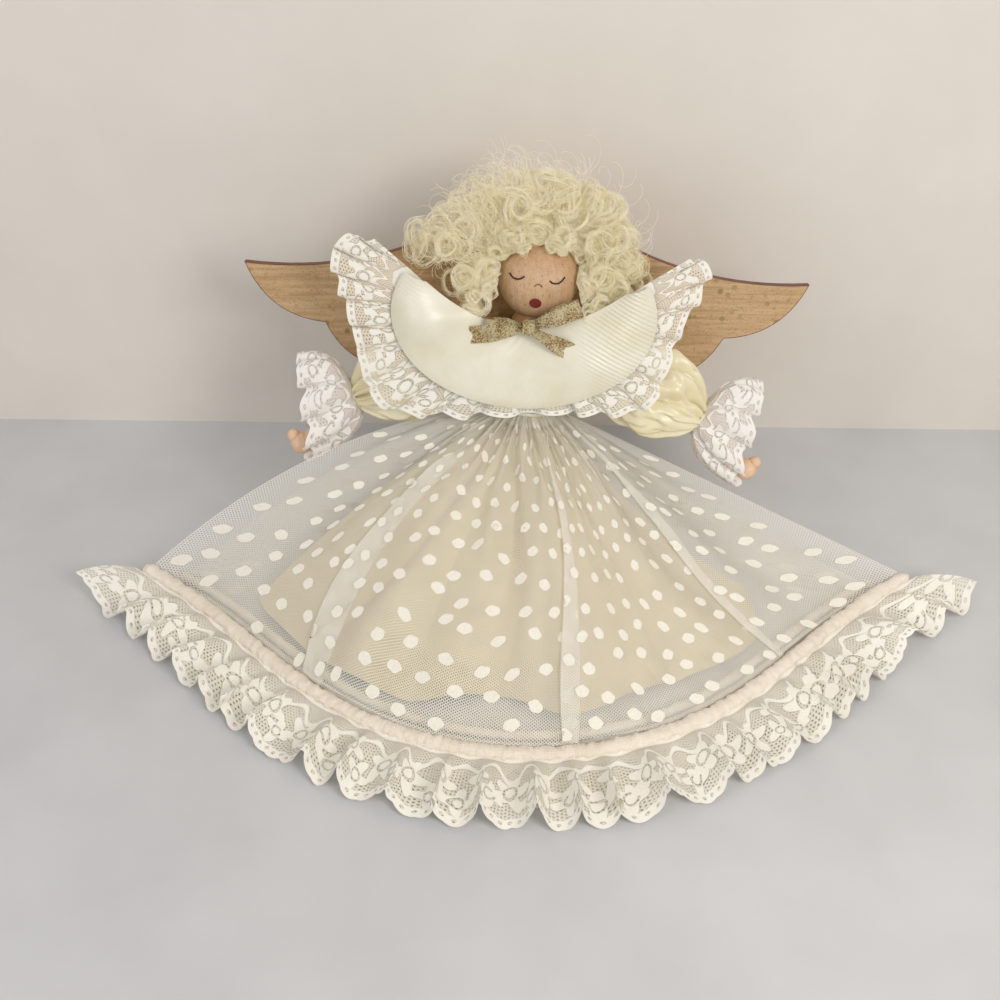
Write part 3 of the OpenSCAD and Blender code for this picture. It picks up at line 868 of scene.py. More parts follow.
@dataclass
class Skirt:
    """Dotted net over a petticoat, with a puckered hem band and gathered lace.

    On every panel, q goes from -1 at the left side seam to 1 at the right one.
    """

    finishes: Finishes
    reach: float = 103.0
    tip_reach: float = 28.0
    tip_rise: float = 4.0
    spread: float = 76.0
    puff: float = 13.5
    ring_r: float = 9.35
    hem_z: float = 3.1
    net_lay: float = 0.4
    pleats: tuple = ((-0.53, 0.058, 0.21), (0.09, 0.045, 0.14), (0.66, 0.042, 0.12))
    pleat_h: float = 1.7
    pleat_swell: float = 2.0
    folds: float = 9.0
    fold_h: float = 1.3
    drift_h: float = 2.6
    gathers: float = 64.0
    gather_h: float = 1.3
    crinkle_h: float = 0.6
    back_reach: float = 72.0
    back_spread: float = 34.0
    back_drop: float = 1.6
    back_low: float = 0.1
    crease_h: float = 0.9
    petticoat_spread: float = 65.0
    petticoat_drop: float = 4.0
    petticoat_sink: float = 7.0
    petticoat_z: float = 2.3
    petticoat_lay: float = 0.3
    petticoat_fold: float = 5.6
    petticoat_back_r: float = 79.0
    petticoat_back_sink: float = 7.2
    petticoat_back_in: float = 12.0
    petticoat_back_low: float = 0.9
    hem_knots: tuple = (
        (-1.0, 97.0), (-0.65, 93.0), (-0.32, 89.5), (-0.12, 81.0),
        (0.11, 88.4), (0.38, 86.0), (0.8, 92.0), (1.0, 81.0),
    )
    band_r: float = 2.3
    band_end: float = 0.006
    back_band_r: float = 1.5
    back_inset: float = 7.8
    stitch: float = 0.3
    lace_l: float = 22.0
    ruffles: float = 24.0
    ruffle_h: float = 6.0
    scallops: int = 33
    dot: tuple[float, float] = (3.0, 1.9)
    dot_pitch: tuple[float, float] = (13.0, 9.2)
    dot_lay: float = -0.2
    dot_stray: tuple[float, float] = (0.2, 0.25)
    dot_turn: float = 0.35
    net_cut: Cut = Cut(390.0, 118.0, ("waist_thread", "petticoat_front_cloth"), 0.55)
    net_back_cut: Cut = Cut(300.0, 150.0, ("waist_thread",), 0.55)
    petticoat_cut: Cut = Cut(215.0, 100.0, ("waist_thread",), 0.55)
    petticoat_back_cut: Cut = Cut(190.0, 125.0, ("waist_thread",), 0.55)
    steps: int = 3000
    travel: list[float] = field(default_factory=list)

    def __post_init__(self) -> None:
        """Measure the front net's cloth along its pleats."""
        fans = [self.fan(2 * i / self.steps - 1, 1.0) for i in range(self.steps + 1)]
        self.travel = [0.0]
        for a, b in zip(fans, fans[1:]):
            self.travel.append(self.travel[-1] + abs(b - a))

    def fan(self, q: float, folded: float) -> float:
        """Where along the fan the net at q lies once its pleats are folded over.

        Args:
            q: the place along the net.
            folded: how far the pleats are folded, 1 in full.

        Returns:
            The place along the fan, from -1 to 1.
        """
        place = q
        for at, width, over in self.pleats:
            x = (q - at) / width
            place -= folded * over * x * math.exp(-x * x)
        return max(-1.0, min(1.0, place))

    def along(self, u: float) -> float:
        """The net's q at a share of its cloth's width.

        Args:
            u: the share.

        Returns:
            The place along the net, from -1 to 1.
        """
        want = min(1.0, max(0.0, u)) * self.travel[-1]
        i = min(max(bisect.bisect_left(self.travel, want), 1), self.steps)
        low, high = self.travel[i - 1], self.travel[i]
        return 2 * (i - 1 + (want - low) / max(high - low, 1e-9)) / self.steps - 1

    def hem_reach(self, q: float) -> float:
        """Reach of the hem from the waist, longer at the side seams."""
        return self.reach + self.tip_reach * abs(q) ** 6

    def hem_height(self, q: float) -> float:
        """Height of the front hem over the table, lifted at the side seams."""
        return self.hem_z + self.tip_rise * abs(q) ** 6

    def slant(self, q: float) -> float:
        """How much longer a step in from the hem is along the fan than square to it."""
        rise = 6 * self.tip_reach * abs(q) ** 5
        return math.hypot(1, rise / (math.radians(self.spread) * self.hem_reach(q)))

    def lift(self, q: float) -> float:
        """Lift of the net between waist and hem, more on the left."""
        return self.puff * (1 - q) / 2

    def raised(self, top: Vector, hem: Vector, lift: float) -> Vector:
        """The point that draws a panel up between its top and its hem."""
        return (top + hem) / 2 + Vector((0, 0, 2 * lift))

    def net_front(self, u: float, v: float) -> Vector:
        """The net's front panel, with three pleats that lap over themselves.

        Args:
            u: share of its cloth's width.
            v: share of the way from waist to hem.

        Returns:
            The point in millimetres.
        """
        q = self.along(u)
        fan = self.fan(q, smooth_step(0.0, 0.4, v) * (1.12 - 0.4 * v + 0.2 * wobble(3 * v, 4 * q, 6)))
        sway = 0.07 * math.sin(math.pi * v) * math.sin(5 * fan + 1.3) + 0.02 * math.sin(2 * math.pi * v)
        fan += sway * (1 - fan * fan)
        lapped = 0.0
        for at, width, _ in self.pleats:
            x = (q - at) / width
            lapped += smooth_step(-1.2, 1.0, x) * (1 - smooth_step(1.6, 5.0, x)) * smooth_step(0.02, 0.4, v)
        fold = self.fold_h * math.cos(math.pi * self.folds * fan + 3 * wobble(2 * fan, 2 * v, 3))
        fold += self.drift_h * wobble(6 * fan, 2.4 * v, 4)
        fold += self.pleat_swell * sum(bump(fan, at, 0.1) for at, _, _ in self.pleats)
        height = 4 * v * (1 - v) * fold + self.pleat_h * lapped
        height += self.gather_h * math.cos(self.gathers * q + 5 * wobble(9 * q, 3 * v)) * bump(v, 0.06, 0.26)
        height += self.crinkle_h * wobble(24 * q, 9 * v, 1) * (1 - 0.6 * v)
        inset = (self.band_r + 0.2) * self.slant(fan)
        hem = fan_point(self.spread * fan, self.hem_reach(fan) - inset, self.hem_height(fan))
        top = around(math.radians(90 * fan), self.ring_r, STANCE.waist_h)
        point = bezier(top, self.raised(top, hem, self.lift(fan)), hem, v)
        return point + Vector((0, 0, self.net_lay + (1 - abs(fan) ** 8) * height))

    def back_curve(
        self, q: float, v: float, h: float, hem: Vector, lift: float, reach: float, low: float
    ) -> Vector:
        """A back panel: down behind the doll and forward along the table.

        Args:
            q: the place along the panel.
            v: share of the way from waist to hem.
            h: the waist's height on the doll.
            hem: the hem's point at q.
            lift: lift of the side seam between waist and hem.
            reach: how far behind the waist the panel is drawn.
            low: the panel's least height over the table.

        Returns:
            The point in millimetres.
        """
        top = around(math.radians(180 - 90 * q), self.ring_r + 0.5, h)
        seam = self.raised(top, hem, lift)
        behind = Vector((WAIST.x + self.back_spread * q, WAIST.y + reach * (1 - 0.2 * q * q), -0.6 * WAIST.z))
        point = bezier(top, lerp(behind, seam, abs(q) ** 5), hem, v)
        crease = self.crease_h * math.cos(40 * q + 2 * wobble(6 * q, 1)) * smooth_step(low + 3, low + 25, point.z)
        away = Vector((point.x - WAIST.x, point.y - WAIST.y, 0))
        point += away.normalized() * crease
        point.z = max(point.z, low)
        return point

    def net_back(self, u: float, v: float) -> Vector:
        """The net's back panel, which lies under the doll.

        Args:
            u: share of its width, from the right seam.
            v: share of the way from waist to hem.

        Returns:
            The point in millimetres.
        """
        q = 1 - 2 * u
        inset = (self.back_inset + self.back_band_r + self.stitch) * self.slant(q)
        hem = fan_point(self.spread * q, self.hem_reach(q) - inset, self.back_low)
        top_h, lift = STANCE.waist_h - self.back_drop, self.lift(q) - self.back_drop
        return self.back_curve(q, v, top_h, hem, lift, self.back_reach, self.back_low)

    def petticoat_front(self, u: float, v: float) -> Vector:
        """The petticoat's front, softly folded, with a wavy hem.

        Args:
            u: share of its width.
            v: share of the way from waist to hem.

        Returns:
            The point in millimetres.
        """
        q = 2 * u - 1
        hem_r = through(self.hem_knots, q) + 0.8 * wobble(9 * q, 0)
        hem = fan_point(self.petticoat_spread * q, hem_r, self.petticoat_z)
        top = around(math.radians(90 * q), self.ring_r, STANCE.waist_h - self.petticoat_drop)
        point = bezier(top, self.raised(top, hem, self.lift(q) - self.petticoat_sink), hem, v)
        body = v * (1.15 - v) * 3
        ridge = abs(math.sin(math.radians(620 * q + 60 * v) + 1.4 * wobble(4 * q, 2 * v, 3)))
        fold = self.petticoat_fold * (ridge - 0.6) + 2.4 * wobble(5 * q, 2 * v, 2)
        return point + Vector((0, 0, self.petticoat_lay + body * fold * (1 - abs(q) ** 6)))

    def petticoat_back(self, u: float, v: float) -> Vector:
        """The petticoat's back, inside the net's back panel.

        Args:
            u: share of its width, from the right seam.
            v: share of the way from waist to hem.

        Returns:
            The point in millimetres.
        """
        q = 1 - 2 * u
        seam = self.hem_knots[0 if q < 0 else -1][1]
        hem_r = lerp(self.petticoat_back_r, seam, abs(q) ** 4)
        hem = fan_point(self.petticoat_spread * q, hem_r, self.petticoat_back_low)
        top_h = STANCE.waist_h - self.petticoat_drop - self.back_drop
        lift, reach = self.lift(q) - self.petticoat_back_sink, self.back_reach - self.petticoat_back_in
        return self.back_curve(q, v, top_h, hem, lift, reach, self.petticoat_back_low)

    def band_path(self, q: float) -> Vector:
        """The middle of the front hem band."""
        return fan_point(self.spread * q, self.hem_reach(q), self.hem_height(q))

    def back_band_path(self, q: float) -> Vector:
        """The middle of the back hem band."""
        return fan_point(self.spread * q, self.hem_reach(q) - self.back_inset * self.slant(q), self.back_band_r)

    def band_tube(self, path: Callable[[float], Vector], radius: float) -> Surface:
        """A puckered tube round a path, closed at its ends.

        Args:
            path: the tube's middle at q.
            radius: its mean radius.

        Returns:
            The tube: u goes along it and v round it.
        """

        def tube(u: float, v: float) -> Vector:
            """A point of the tube.

            Args:
                u: share of the way along it.
                v: share of the way round it.

            Returns:
                The point in millimetres.
            """
            q = 2 * u - 1
            along = (path(q + 0.002) - path(q - 0.002)).normalized()
            across = along.cross(Vector((0, 0, 1))).normalized()
            s = 150 * u
            x, y = math.cos(2 * math.pi * v), math.sin(2 * math.pi * v)
            pucker = 0.34 * wobble(0.9 * s, 1.6 * x, 1.6 * y) + 0.16 * wobble(2.3 * s, 3 * x, 3 * y)
            r = radius * (0.9 + pucker) * math.sqrt(min(1.0, min(u, 1 - u) / self.band_end))
            return path(q) + across * (1.12 * r * x) + along.cross(across) * (-0.9 * r * y)

        return tube

    def lace_front(self, u: float, v: float) -> Vector:
        """The front hem lace: a gathered ruffle with a scalloped edge.

        Args:
            u: share of its length.
            v: share of the way from the band to its edge.

        Returns:
            The point in millimetres.
        """
        q = 2 * u - 1
        beat = 2 * math.pi * (self.ruffles * u + 0.8 * wobble(11 * u, 0.0, 7))
        wave, swing = math.cos(beat), math.sin(beat)
        tall = self.ruffle_h * (1.3 + 0.6 * wobble(9 * u, 1.0, 3))
        turn = math.pi * self.scallops * u
        scallop = 1.1 * abs(math.sin(turn)) + 0.5 * abs(math.sin(3 * turn)) - 0.8
        out = self.hem_reach(q) + self.band_r * 0.8 * self.slant(q) + (self.lace_l + scallop) * v
        out -= 1.2 * v * (1 + wave)
        z = 1.4 + (self.tip_rise * abs(q) ** 6 + 1.6) * (1 - v) + tall * (0.5 + 0.5 * wave) * v * (2 - v)
        sway = (1.15 + 0.7 * wobble(11 * u, 0, 6)) * swing * v * (1.2 - 0.3 * v)
        return fan_point(self.spread * q - sway, out, z)

    def lace_back(self, u: float, v: float) -> Vector:
        """The back hem lace, flat on the table under the front one.

        Args:
            u: share of its length, from the right seam.
            v: share of the way from the band to its edge.

        Returns:
            The point in millimetres.
        """
        q = 1 - 2 * u
        inset = (self.back_inset - self.back_band_r - self.stitch) * self.slant(q)
        out = self.hem_reach(q) - inset + self.lace_l * v
        return fan_point(self.spread * q, out, 0.3 + 0.15 * math.cos(150 * u))

    def dots(self, name: str, surface: Surface, cut: Cut, seed: int) -> None:
        """Scatter oval flock dots over a net panel, as one piece.

        Args:
            name: the piece's name.
            surface: the panel.
            cut: the panel's flat cut.
            seed: for the small shifts from the rows.
        """
        rng = random.Random(seed)
        bm = bmesh.new()
        aside, down = self.dot_stray
        columns, rows = round(cut.width / self.dot_pitch[0]), round(cut.length / self.dot_pitch[1])
        for row in range(rows):
            for column in range(columns):
                u = (column + 0.3 + 0.5 * (row % 2) + rng.uniform(-aside, aside)) / columns
                v = (row + 0.6 + rng.uniform(-down, down)) / rows
                if 0.01 < u < 0.99 and v < 0.985:
                    turn = 1.2 * u - 0.6 + rng.uniform(-self.dot_turn, self.dot_turn)
                    self._dot(bm, surface, cut, (u, v), turn)
        stands_for(object_of(bm, name, self.finishes.dots), "net")

    def _dot(
        self, bm: bmesh.types.BMesh, surface: Surface, cut: Cut, at: tuple[float, float], turn: float
    ) -> None:
        """Add one oval dot that follows the cloth.

        Args:
            bm: the mesh to add to.
            surface: the panel.
            cut: the panel's flat cut.
            at: where on the panel, as shares.
            turn: its turn on the cloth, in radians.
        """
        u, v = at
        long, short = self.dot
        e = 0.003
        normal = (surface(u + e, v) - surface(u - e, v)).cross(surface(u, v + e) - surface(u, v - e)).normalized()
        for vert in bmesh.ops.create_circle(bm, cap_ends=True, segments=18, radius=1.0)["verts"]:
            a = math.atan2(vert.co.y, vert.co.x)
            nick = 1 + 0.05 * math.cos(5 * a + 9 * turn)
            x, y = long * nick * math.cos(a), short * nick * math.sin(a) * (1 - 0.2 * abs(math.cos(a)))
            across = x * math.cos(turn) - y * math.sin(turn)
            down = min(1.0, max(0.0, v + (x * math.sin(turn) + y * math.cos(turn)) / cut.length))
            vert.co = surface(u + across / cut.width, down) + normal * self.dot_lay

    def build(self) -> None:
        """Make the skirt's cloth, its trims and its dots."""
        f = self.finishes
        lace_cut = Cut(430.0, self.lace_l, ("hem_band_front",))
        lace_back_cut = Cut(330.0, self.lace_l, ("hem_band_back",), held="laid")
        band = self.band_tube(self.band_path, self.band_r)
        back_band = self.band_tube(self.back_band_path, self.back_band_r)
        for piece, node, slot, surface, grid, cut, finish in (
            ("net_front", "overskirt_front", "net", self.net_front, (560, 90), self.net_cut, f.net),
            ("net_back", "overskirt_back", "net", self.net_back, (200, 90), self.net_back_cut, f.net),
            (
                "petticoat_front_cloth", "petticoat_front", "petticoat",
                self.petticoat_front, (260, 60), self.petticoat_cut, f.petticoat,
            ),
            (
                "petticoat_back_cloth", "petticoat_back", "petticoat",
                self.petticoat_back, (140, 70), self.petticoat_back_cut, f.petticoat,
            ),
            ("hem_band_front", "hem_cord_front", "hem_band", band, (900, 14), Cut(310.0, 14.0), f.band),
            ("hem_band_back", "hem_cord_back", "hem_band", back_band, (500, 12), Cut(280.0, 9.0), f.band),
            ("hem_ruffle_front", "hem_lace_front", "lace", self.lace_front, (1100, 16), lace_cut, f.hem_lace),
            ("hem_ruffle_back", "hem_lace_back", "lace", self.lace_back, (240, 6), lace_back_cut, f.hem_lace),
        ):
            cloth_piece(piece, node, slot, surface, grid, cut, finish, closed=slot == "hem_band")
        self.dots("net_front_dots", self.net_front, self.net_cut, 3)
        self.dots("net_back_dots", self.net_back, self.net_back_cut, 5)


@dataclass
class Head:
    """The ball head with its inked face, in degrees to the right of the ball's front and up."""

    finishes: Finishes
    ink_r: float = 0.27
    nose_r: float = 0.189
    ink_lay: float = 0.08
    eyes: tuple = (
        ((-48.4, 13.5), (-44, 10.4), (-39.6, 8.6), (-32.0, 8.1), (-27, 10), (-22.9, 13.4)),
        ((14.0, 10.0), (17, 7.4), (21, 6.2), (27.1, 6.3), (33, 9.4), (38.2, 13.9)),
    )
    nose: tuple = ((-7.0, 1.4), (-5.0, 3.8), (-2.0, 5.0), (1.2, 4.0), (3.4, 1.4))
    mouth: tuple[float, float] = (-4.2, -24.0)
    mouth_r: float = 1.85
    mouth_h: float = 0.3

    def on_ball(self, azimuth: float, height: float, r: float) -> Vector:
        """A point over the ball at two angles from its front.

        Args:
            azimuth: degrees to the right.
            height: degrees up.
            r: distance from the ball's middle.

        Returns:
            The point in millimetres.
        """
        a, e = math.radians(azimuth), math.radians(height)
        way = Vector((math.sin(a) * math.cos(e), -math.cos(a) * math.cos(e), math.sin(e)))
        return SIT @ (Vector((0, 0, STANCE.head_h)) + way * r)

    def build(self) -> None:
        """Make the ball and the face."""
        f = self.finishes
        bm = bmesh.new()
        add_ball(bm, SIT @ Matrix.Translation((0, 0, STANCE.head_h)), (STANCE.head_r,) * 3, 96)
        stands_for(object_of(bm, "head", f.head), "head_wood", "head_ball")
        ink = STANCE.head_r + self.ink_lay
        strokes = [[self.on_ball(*p, ink) for p in line] for line in (*self.eyes, self.nose)]
        stands_for(strand_piece("face_lines", strokes[:2], self.ink_r, f.ink, 3), "head_wood")
        stands_for(strand_piece("face_nose", strokes[2:], self.nose_r, f.nose, 3), "head_wood")
        at = self.on_ball(*self.mouth, STANCE.head_r)
        normal = at - SIT @ Vector((0, 0, STANCE.head_h))
        bm = bmesh.new()
        turn = normal.to_track_quat("Z", "Y").to_matrix().to_4x4()
        add_ball(bm, Matrix.Translation(at) @ turn, (self.mouth_r, self.mouth_r, self.mouth_h))
        stands_for(object_of(bm, "face_mouth", f.mouth), "head_wood")


@dataclass
class Hair:
    """A wig of fine shining curls round the top, sides and back of the head.

    A tuft is a ball of curls: its place from the middle of the head, its radius and its count of curls.
    """

    finishes: Finishes
    strand_r: float = 0.05
    strands: int = 9
    seed: int = 11
    pieces: int = 8
    most_push: float = 5.0
    fullness: float = 1.5
    per_turn: int = 17
    most_loop: float = 5.4
    loose: int = 420
    loose_steps: int = 30
    loose_root: tuple[float, float] = (14.0, 24.0)
    loose_reach: tuple[float, float] = (6.0, 17.0)
    loose_coil: tuple[float, float] = (1.6, 4.2)
    loose_turns: tuple[float, float] = (1.2, 3.2)
    loop_share: tuple[float, float] = (0.34, 0.7)
    curl_turns: tuple[float, float] = (1.2, 2.6)
    curl_fall: float = 2.2
    face_drop: float = 3.0
    face_y: float = -3.5
    front_y: float = -12.6
    side_y: float = -18.0
    wing_y: float = 9.6
    notch_y: float = 16.0
    notch_h: float = 7.0
    notch_foot: float = 74.0
    notch_slope: float = 0.6
    notch_room: float = 1.5
    cheek_x: float = 13.0
    cheek_h: float = 2.0
    tufts: tuple = (
        (-36.0, -1.0, 9.0, 8.0, 5), (-27.0, -2.0, 13.0, 9.5, 8), (-22.0, -1.0, 20.0, 9.5, 8),
        (-10.0, -2.0, 24.0, 9.8, 10), (1.0, -2.0, 26.0, 9.4, 10), (10.0, -2.0, 24.5, 9.6, 10),
        (18.0, -1.0, 19.0, 9.4, 11), (22.5, -1.5, 10.5, 9.4, 11), (30.0, -1.0, 3.0, 6.8, 6),
        (-17.5, -5.0, 1.0, 7.4, 12), (17.5, -5.0, 2.0, 7.4, 12), (-24.0, -6.0, -1.0, 6.8, 8),
        (24.0, -6.0, -1.0, 6.4, 8), (-18.5, -11.0, -7.0, 5.2, 7), (18.0, -11.0, -6.5, 5.2, 7),
        (-13.0, -3.0, 12.0, 6.6, 7), (13.5, -3.0, 12.0, 6.6, 7), (0.0, -3.5, 16.0, 6.8, 8),
        (-7.5, -8.0, 12.5, 5.2, 6), (5.5, -8.0, 13.5, 5.2, 6), (-13.5, -8.5, -2.0, 5.0, 6),
        (14.0, -8.5, -1.0, 5.0, 6), (0.0, 5.0, 6.0, 13.0, 10), (0.0, 12.0, 13.0, 7.0, 8),
        (-7.0, 12.0, 5.0, 6.5, 8), (7.0, 12.0, 5.0, 6.5, 8), (0.0, 13.0, -4.0, 6.5, 8),
        (0.0, 14.5, 6.0, 5.5, 9), (-5.0, 14.0, 9.0, 5.0, 7), (5.0, 14.0, 9.0, 5.0, 7),
        (-14.0, 7.0, 8.0, 7.0, 6), (14.0, 7.0, 8.0, 7.0, 6),
    )

    def curl(self, rng: random.Random, centre: Vector, size: float, strands: int) -> list[list[Vector]]:
        """One curl: strands that wind together round a shared axis.

        Args:
            rng: the source of its chances.
            centre: the middle of its tuft, in the upright doll's frame.
            size: the tuft's radius.
            strands: how many strands wind together.

        Returns:
            Each strand's points, as the doll sits.
        """
        axis = Vector((rng.gauss(0, 0.75), -1.0, rng.gauss(0, 0.75))).normalized()
        across = axis.orthogonal().normalized()
        side = axis.cross(across)
        loop_r = min(self.most_loop, rng.uniform(*self.loop_share) * size)
        spot = Vector((rng.gauss(0, 1), rng.gauss(0, 0.55), rng.gauss(0, 1))).normalized() * (size - loop_r)
        turns, start = rng.uniform(*self.curl_turns), rng.uniform(0, 2 * math.pi)
        fall = rng.uniform(-self.curl_fall, self.curl_fall)
        found = []
        for _ in range(strands):
            r = loop_r * rng.uniform(0.87, 1.08)
            shift, phase = rng.gauss(0, 0.45), rng.uniform(-0.6, 0.6)
            drift = fall + rng.uniform(-0.4, 0.4)
            stray = Vector((rng.gauss(0, 0.2), rng.gauss(0, 0.2), rng.gauss(0, 0.2)))
            line: list[Vector] = []
            pushed = 0.0
            for i in range(int(self.per_turn * turns) + 1):
                wound = i / self.per_turn
                a = start + phase + 2 * math.pi * wound
                wind = r * (1 - 0.12 * wound) + 0.22 * math.sin(3 * a + shift)
                place = centre + spot + stray + across * wind * math.cos(a) + side * wind * math.sin(a)
                place += axis * (shift + drift * (wound - 0.5))
                free = self.clear(place)
                pushed = max(pushed, (free - place).length)
                line.append(SIT @ free)
            if pushed < self.most_push:
                found.append(line)
        return found

    def flyaways(self, rng: random.Random) -> list[list[Vector]]:
        """Loose strands that leave the curls and end in small coils, most on the left.

        Args:
            rng: the source of their chances.

        Returns:
            Each strand's points, as the doll sits.
        """
        found = []
        for _ in range(self.loose):
            a = rng.uniform(-1.45, 1.3) if rng.random() < 0.4 else rng.uniform(-1.5, -0.2)
            way = Vector((math.sin(a), rng.uniform(-0.25, 0.2), math.cos(a)))
            root = Vector((0, -2, STANCE.head_h + 3)) + way * rng.uniform(*self.loose_root)
            reach, coil = rng.uniform(*self.loose_reach), rng.uniform(*self.loose_coil)
            turns, start = rng.uniform(*self.loose_turns), rng.uniform(0, 2 * math.pi)
            side = way.cross(Vector((0, 1, 0))).normalized()
            line = []
            for i in range(self.loose_steps + 1):
                t = i / self.loose_steps
                b = start + 2 * math.pi * turns * t
                place = root + way * (reach * t + coil * t * math.cos(b))
                place += side * (coil * t * math.sin(b) + 3 * t * math.cos(start))
                line.append(SIT @ self.clear(place + Vector((0, 1.5 * t * math.sin(b + 1), 0))))
            found.append(line)
        return found

    def clear(self, place: Vector) -> Vector:
        """Keep a point out of the head, off the face and clear of the wings.

        Args:
            place: the point, in the upright doll's frame.

        Returns:
            The nearest free place.
        """
        head_h, head_r = STANCE.head_h, STANCE.head_r
        centre = Vector((0, 0, head_h))
        away = place - centre
        loose = 2.2 + 2.0 * wobble(0.35 * place.x, 0.35 * place.z, 0.35 * place.y)
        if away.length < head_r + loose:
            place = centre + away.normalized() * (head_r + 0.3 + 0.5 * loose)
        face = Vector((place.x, 0, place.z - head_h + self.face_drop))
        room = head_r - 1.6 + 1.4 * loose
        if place.y < self.face_y and face.length < room:
            face *= room / max(face.length, 0.1)
            place = Vector((face.x, place.y, head_h - self.face_drop + face.z))
        notch_w = self.notch_slope * (place.z - self.notch_foot) - self.notch_room
        in_notch = place.z > head_h + self.notch_h or abs(place.x) < notch_w
        at_side = abs(place.x) > self.cheek_x and place.z < head_h + self.cheek_h
        front = self.side_y if at_side else self.front_y
        back = self.notch_y if in_notch else self.wing_y
        return Vector((place.x, min(back, max(front, place.y)), place.z))

    def build(self) -> None:
        """Wind every tuft's curls, in a few pieces."""
        rng = random.Random(self.seed)
        groups: list[list[list[Vector]]] = [[] for _ in range(self.pieces)]
        for i, (x, y, z, size, count) in enumerate(self.tufts):
            centre = Vector((x, y, STANCE.head_h + z))
            for _ in range(round(self.fullness * count)):
                groups[i % (len(groups) - 1)] += self.curl(rng, centre, size, self.strands)
        groups[-1] += self.flyaways(rng)
        for i, group in enumerate(groups):
            made = strand_piece(f"curls_{i + 1}", group, self.strand_r, self.finishes.hair)
            stands_for(made, "hair", *(["hair_wig"] if i == 0 else []))


@dataclass
class Wings:
    """One flat board cut as two feathered wings.

    The half outline lists its corners and how far the edge after each one bulges, as a share of its length.
    """

    finishes: Finishes
    front: float = 10.1
    thick: float = 3.2
    round_off: float = 0.35
    shift: float = -3.0
    turn: float = 1.2
    half: tuple = (
        ((0.0, 76.5), 0.0), ((10.6, 92.0), -0.1), ((27.3, 103.0), 0.07), ((91.0, 91.0), -0.16),
        ((65.5, 72.0), -0.16), ((41.9, 57.0), -0.18), ((18.2, 48.0), -0.1), ((0.0, 58.0), 0.0),
    )

    def outline(self) -> list[Vector]:
        """The board's outline, right wing first.

        Returns:
            Its points, across and up.
        """
        right = [Vector(self.half[0][0])]
        for (start, bulge), (end, _) in zip(self.half, self.half[1:]):
            a, b = Vector(start), Vector(end)
            along = b - a
            across = Vector((along.y, -along.x))
            steps = 14 if bulge else 1
            for i in range(1, steps + 1):
                t = i / steps
                right.append(a + along * t + across * (bulge * 4 * t * (1 - t)))
        return right + [Vector((-p.x, p.y)) for p in right[-2:0:-1]]

    def build(self) -> None:
        """Cut the board from its outline and round its edges."""
        bm = bmesh.new()
        pivot = Matrix.Translation((0, 0, STANCE.head_h))
        turn = Matrix.Rotation(math.radians(-self.turn), 4, "Y")
        hang = Matrix.Translation((self.shift, 0, 0)) @ pivot @ turn @ pivot.inverted()
        rim = [bm.verts.new(SIT @ hang @ Vector((p.x, self.front, p.y))) for p in self.outline()]
        face = bm.faces.new(rim)
        made = bmesh.ops.extrude_face_region(bm, geom=[face])["geom"]
        back = SIT.to_3x3() @ Vector((0, self.thick, 0))
        bmesh.ops.translate(bm, vec=back, verts=[g for g in made if isinstance(g, bmesh.types.BMVert)])
        bmesh.ops.recalc_face_normals(bm, faces=bm.faces)
        way = back.normalized()
        sharp = [e for e in bm.edges if any(abs(f.normal.dot(way)) > 0.9 for f in e.link_faces)]
        bmesh.ops.bevel(
            bm, geom=sharp, offset=self.round_off, segments=2, profile=0.5, affect="EDGES", material=-1
        )
        for f in bm.faces:
            f.material_index = 0 if abs(f.normal.dot(way)) > 0.97 else 1
        board = object_of(bm, "wing_board", self.finishes.wing)
        board.data.materials.append(self.finishes.wing_edge)
        for polygon in board.data.polygons:
            polygon.use_smooth = False
        stands_for(board, "wing_wood", "wings")


